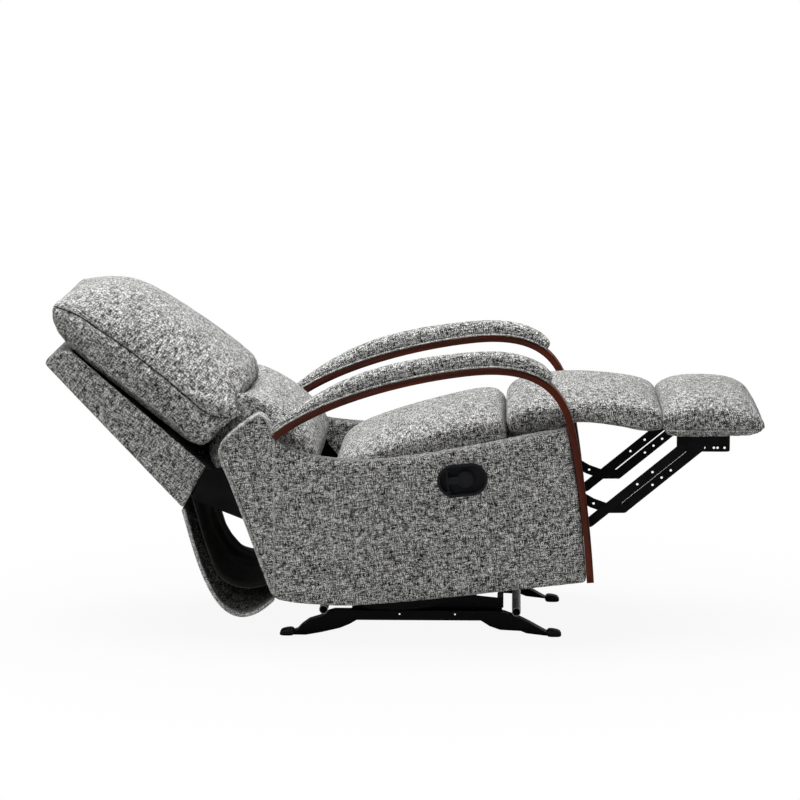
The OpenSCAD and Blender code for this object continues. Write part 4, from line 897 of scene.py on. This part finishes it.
lining_cloth = charcoal_lining("bonded_polyester_lining", "#1A1A1A", "#3C3C3A")
flap_hem = np.array((hem_x, hem_z + 3))
flap_loop = loop_between(from_back(-shell_deep, -18) - (0, 0.3), flap_hem, flap_shares)
liner_loop = loop_between(from_back(-shell_deep * liner_part, -18 * liner_part - 1.5),
                          flap_hem + (0, liner_rise), liner_shares)
flap = hanging("hanging_flap", flap_loop, 0.4)
liner = hanging("flap_inner_lining", liner_loop, 1.7)
for cloth, node, slot_name, outside in ((flap, "back_flap", "tweed_fabric", tweed),
                                        (liner, "flap_lining", "black_lining", lining_cloth)):
    cloth.data.materials.append(outside)
    cloth.data.materials.append(lining_cloth)
    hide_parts(node)
    lay_weave(cloth, chair)
    hang_with_back(cloth)
for edge, edge_name in ((-1, "right"), (1, "left")):
    edge_line = []
    for share in np.linspace(0.01, 0.97, 50):
        q = bezier(flap_loop, share)
        fold = math.cos(2 * math.pi * fold_count * (edge + 1) / 2)
        lift = fold_deep * fold * math.sin(math.pi * share)
        edge_line.append(chair @ Vector((q[0] + lift, edge * (flap_half - 1), q[1])))
    # Side hems take the paler tweed, a painted highlight along the flap's edges.
    hem = cord_tube(f"flap_side_hem_{edge_name}", edge_line, radius=0.0042)
    lay_weave(hem, chair)
    hem.data.materials.append(painted_highlight_tweed)
    hang_with_back(hem)


# Steel: stamped links and plates, folded rails and welded members, all in
# black semi-gloss paint with a faint orange-peel of about 1.6 mm, which dust
# and handling dull in cloudy patches.
def painted_steel(name, coat, rubbed):
    paint, tree, surface = new_material(name, {"Specular IOR Level": 0.1})
    place = add_node(tree, "TexCoord").outputs["Object"]
    peel = add_node(tree, "TexNoise", {"Vector": place, "Scale": 620.0, "Detail": 2.0})
    dust = add_node(tree, "TexNoise", {"Vector": place, "Scale": 23.0, "Detail": 6.0})
    add_node(tree, "ValToRGB", {0: dust}, ((0.42, coat), (0.72, rubbed)), surface["Base Color"])
    add_node(tree, "MapRange", {0: dust, 1: 0.3, 2: 0.7, 3: 0.3, 4: 0.46}, into=surface["Roughness"])
    add_node(tree, "Bump", {"Height": peel, "Strength": 0.12, "Distance": 0.0003}, into=surface["Normal"])
    return paint


def finish_nodes(material, nodes, edge_mm):
    """Gives CAD nodes their material and a small broken edge."""
    for node in nodes:
        piece = bpy.data.objects[node]
        piece.data.materials.clear()
        piece.data.materials.append(material)
        if edge_mm:
            edge = piece.modifiers.new("broken_edge", "BEVEL")
            edge.width = edge_mm * mm
            edge.segments = 2
            edge.limit_method = "ANGLE"
            edge.angle_limit = math.radians(50)


black_steel = painted_steel("semi_gloss_black_painted_steel", "#060607", "#131314")
finish_nodes(black_steel, [f"{part}_{side}" for side in ("right", "left") for part in (
    "base_rail", "rocker_cam", "mechanism_plate", "seat_plate", "inner_link", "tail_link",
    "outer_link_upper", "outer_link_lower", "footrest_bracket", "back_bracket")], 0.5)
finish_nodes(black_steel, ["cam_guides", "spring_strap_front", "spring_strap_rear", "cross_member_front",
                           "cross_member_rear", "drive_tube"], 0.5)

# Zinc-plated steel: cross tubes, coil and zigzag springs and bolts, with the
# faint cloudy spangle of galvanising, in grains of about 6 mm.
galvanised, zinc_tree, zinc_surface = new_material("galvanised_zinc_steel", {"Metallic": 1.0})
zinc_place = add_node(zinc_tree, "TexCoord").outputs["Object"]
spangle = add_node(zinc_tree, "TexVoronoi", {"Vector": zinc_place, "Scale": 160.0})
add_node(zinc_tree, "ValToRGB", {0: spangle.outputs["Color"]}, ((0, "#86888A"), (1, "#B4B6B8")),
         zinc_surface["Base Color"])
add_node(zinc_tree, "MapRange", {0: spangle.outputs["Distance"], 1: 0.0, 2: 0.8, 3: 0.28, 4: 0.46},
         into=zinc_surface["Roughness"])
finish_nodes(galvanised, ["cross_tube_front", "cross_tube_rear", "rocker_springs_right",
                          "rocker_springs_left", "seat_springs", "panel_bolts"], 0)

# Rocker springs: coils of zinc-plated wire, one pair before and one behind the
# rocking axis; their feet stay on the straps and their heads follow the chair.
spring_wire, spring_turns, turn_steps = 4.5, 5, 16
spring_outer = 17
spring_radius = spring_outer - spring_wire / 2
spring_y, spring_reach, spring_foot = 176, 118, 62.6
member_foot, spring_gap = 50, 0.3
lean = -rocked_back
for way, end_name in ((1, "front"), (-1, "rear")):
    spring_head = (rocking_axis[2] + way * spring_reach * math.sin(lean) + member_foot * math.cos(lean)
                   - spring_outer * math.sin(lean) - spring_wire / 2 - spring_gap)
    spring_drift = way * spring_reach * (math.cos(lean) - 1) - member_foot * math.sin(lean)
    spring_x = rocking_axis[0] - middle_x + way * spring_reach
    for side, side_name in ((-1, "right"), (1, "left")):
        coil_line = []
        for k in range(spring_turns * turn_steps + 1):
            turn, share = 2 * math.pi * k / turn_steps, k / (spring_turns * turn_steps)
            coil_line.append(mm * Vector((
                spring_x + spring_radius * math.cos(turn) + spring_drift * share,
                side * (spring_y - spring_radius * math.sin(turn)),
                spring_foot + (spring_head - spring_foot) * share)))
        coil = cord_tube(f"rocker_spring_{end_name}_{side_name}", coil_line, spring_wire / 2 * mm)
        coil.data.materials.append(galvanised)
        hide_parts(f"rocker_springs_{side_name}")
        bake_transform(coil)

# Moulded plastic: handle cup, lever, feet and the cable's jacket, black
# polypropylene with the fine grain of a spark-eroded mould. The real grain is
# about 0.2 mm; it is drawn at 1.1 mm so that it shows.
moulded, plastic_tree, plastic_surface = new_material("moulded_black_polypropylene",
                                                      {"Specular IOR Level": 0.2})
plastic_place = add_node(plastic_tree, "TexCoord").outputs["Object"]
grain = add_node(plastic_tree, "TexNoise", {"Vector": plastic_place, "Scale": 900.0, "Detail": 2.0})
add_node(plastic_tree, "ValToRGB", {0: grain}, ((0, "#101114"), (1, "#1C1E22")),
         plastic_surface["Base Color"])
add_node(plastic_tree, "MapRange", {0: grain, 1: 0.3, 2: 0.7, 3: 0.34, 4: 0.5},
         into=plastic_surface["Roughness"])
add_node(plastic_tree, "Bump", {"Height": grain, "Strength": 0.2, "Distance": 0.0002},
         into=plastic_surface["Normal"])
finish_nodes(moulded, ["handle_cup"], 0.8)
finish_nodes(moulded, ["release_cable"], 0)

# Release lever: keyhole-shaped moulded paddle with a raised ring for the
# fingertip, on an upright hinge pin in the cup.
lever_hinge = (cup_at[0] - 33.9, cup_at[1])
lever_face, lever_thick, disc_radius, neck_half = -panel_outer + 2.5, 5.0, 19.0, 8.5
disc_at = cup_at[0] + 7.0


def keyhole(radius, half, tail):
    """Outline of a disc with a straight neck towards the hinge."""
    start = math.asin(half / radius)
    ring = []
    for k in range(41):
        turn = start + (2 * math.pi - 2 * start) * k / 40
        ring.append((disc_at - radius * math.cos(turn), cup_at[1] - radius * math.sin(turn)))
    return ring + [(tail, cup_at[1] + half), (tail, cup_at[1] - half)]


def turned_ring(centre, y_low, radii):
    """Rings of [radius, height over the face] about an axis across the chair."""
    verts, faces, rows = [], [], len(radii)
    for j, (r, h) in enumerate(radii):
        for k in range(40):
            turn, q, above = 2 * math.pi * k / 40, (k + 1) % 40, (j + 1) % rows * 40
            verts.append((centre[0] + r * math.cos(turn), y_low - h, centre[1] + r * math.sin(turn)))
            faces.append((j * 40 + k, j * 40 + q, above + q, above + k))
    return verts, faces


paddle_body = lofted(
    [keyhole(disc_radius - 1, neck_half - 1, lever_hinge[0] - 2)]
    + [keyhole(disc_radius, neck_half, lever_hinge[0] - 3)] * 2,
    [lever_face, lever_face + 1, lever_face + lever_thick])
finger_ring = turned_ring((disc_at, cup_at[1]), lever_face,
                          [(15, -0.5), (14.6, 1.6), (12.6, 1.6), (12.2, -0.5)])
neck_rib = [(x + lever_hinge[0], z + cup_at[1]) for x, z in ((4, -7), (8, -7), (8, 7), (4, 7))]
neck_rib = lofted([neck_rib, neck_rib], [lever_face - 1.6, lever_face + 1])
pin_radius, pin_half, pin_sides = 3, 22, 24
pin_turns = [2 * math.pi * k / pin_sides for k in range(pin_sides)]
hinge_pin = (
    [(lever_hinge[0] + pin_radius * math.cos(turn), lever_face + 2.5 + pin_radius * math.sin(turn),
      cup_at[1] + z) for z in (-pin_half, pin_half) for turn in pin_turns],
    [(k, (k + 1) % pin_sides, pin_sides + (k + 1) % pin_sides, pin_sides + k) for k in range(pin_sides)])
paddle = mesh_object("keyhole_paddle", *joined(paddle_body, finger_ring, neck_rib, hinge_pin), chair)
soft_edge = paddle.modifiers.new("soft_edge", "BEVEL")
soft_edge.width, soft_edge.segments = 0.4 * mm, 2
paddle.data.materials.append(moulded)
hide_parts("release_lever")
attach(paddle, "lever")

# Glides: rounded moulded caps pushed on the rails' ends, one at each corner.
glide_rows = [
    [0.02, 0.3, 0.4], [0.12, 0, 0.4], [0.86, 0, 0.4], [1, 0.3, 0.4], [0.96, 0.8, 0.4], [0.8, 1, 0.4],
    [0.5, 0.94, 0.3], [0.16, 0.76, 0.4],
]
glide_size, glide_wide, glide_y = (36, 17), 34, -237
glide_ring = evenly(rounded(glide_rows, (0, 0), *glide_size), 60)
glide_edges = [(3.5, 0), (1, 1), (0, 3.5), (0, glide_wide - 3.5), (1, glide_wide - 1), (3.5, glide_wide)]
glide_caps = []
for heel_x, way in ((-270, 1), (377, -1)):
    for side in (-1, 1):
        rings = [drawn_in(glide_ring, inset) * (way, 1) + (heel_x - middle_x, 0) for inset, _ in glide_edges]
        verts, faces = lofted(rings, [-side * (glide_y + y) for _, y in glide_edges])
        glide_caps.append((verts, [face[::-1] for face in faces] if way * side > 0 else faces))
glides = mesh_object("moulded_glides", *joined(*glide_caps), Matrix.Scale(mm, 4))
glides.data.polygons.foreach_set("use_smooth", [True] * len(glides.data.polygons))
glides.data.materials.append(moulded)
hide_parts("base_feet")
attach(glides, "base")

# Stop brackets: short bent tabs inside the rails, bare dark steel, where the
# rocking springs' travel ends; they stand clear of the wooden front rail.
bracket_x, bracket_size, bracket_y, bracket_foot = 229, (14, 26, 36), 199.4, 61
bracket_steel = painted_steel("bare_hot_rolled_steel", "#2C2C2E", "#47474A")
bracket_top = bracket_foot + bracket_size[2]
bracket_ring = [(bracket_x - middle_x + x, z) for x, z in (
    (0, bracket_foot), (bracket_size[0], bracket_foot), (bracket_size[0], bracket_top), (4, bracket_top),
    (0, bracket_top - 6))]
for side, name in ((-1, "right"), (1, "left")):
    ends = sorted((side * bracket_y, side * (bracket_y - bracket_size[1])))
    tab_verts, tab_faces = lofted([bracket_ring, bracket_ring], ends)
    tab = mesh_object(f"stop_bracket_{name}", tab_verts, tab_faces, Matrix.Scale(mm, 4))
    soft_edge = tab.modifiers.new("soft_edge", "BEVEL")
    soft_edge.width, soft_edge.segments = 1.2 * mm, 2
    tab.data.materials.append(bracket_steel)
    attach(tab, "base")

# Birch: the rear rail and the footrest board, sawn and left raw. Their year
# rings are drawn 3 times wider than the real 3 to 4 mm so that they show. The
# back webbing and back frame take the charcoal lining cloth, lined in the real
# chair and also painted shade in the gaps where they show; the seat frame and
# front rail are raw birch given the same cloth as painted shade.
birch, birch_tree, birch_surface = new_material("raw_sawn_birch", {"Roughness": 0.75})
birch_place = add_node(birch_tree, "TexCoord").outputs["Object"]
ring_place = add_node(birch_tree, "VectorMath", {0: birch_place, 1: (90, 4, 90)}, operation="MULTIPLY")
year_rings = add_node(birch_tree, "TexNoise", {"Vector": ring_place, "Scale": 1.0, "Detail": 6.0,
                                               "Distortion": 0.5})
add_node(birch_tree, "ValToRGB", {0: year_rings}, ((0.3, "#A98658"), (0.7, "#D2B487")),
         birch_surface["Base Color"])
add_node(birch_tree, "Bump", {"Height": year_rings, "Strength": 0.25, "Distance": 0.0005},
         into=birch_surface["Normal"])
finish_nodes(birch, ["rear_rail", "footrest_board"], 0.8)
finish_nodes(lining_cloth, ["back_webbing", "back_frame", "seat_frame", "front_rail"], 0)
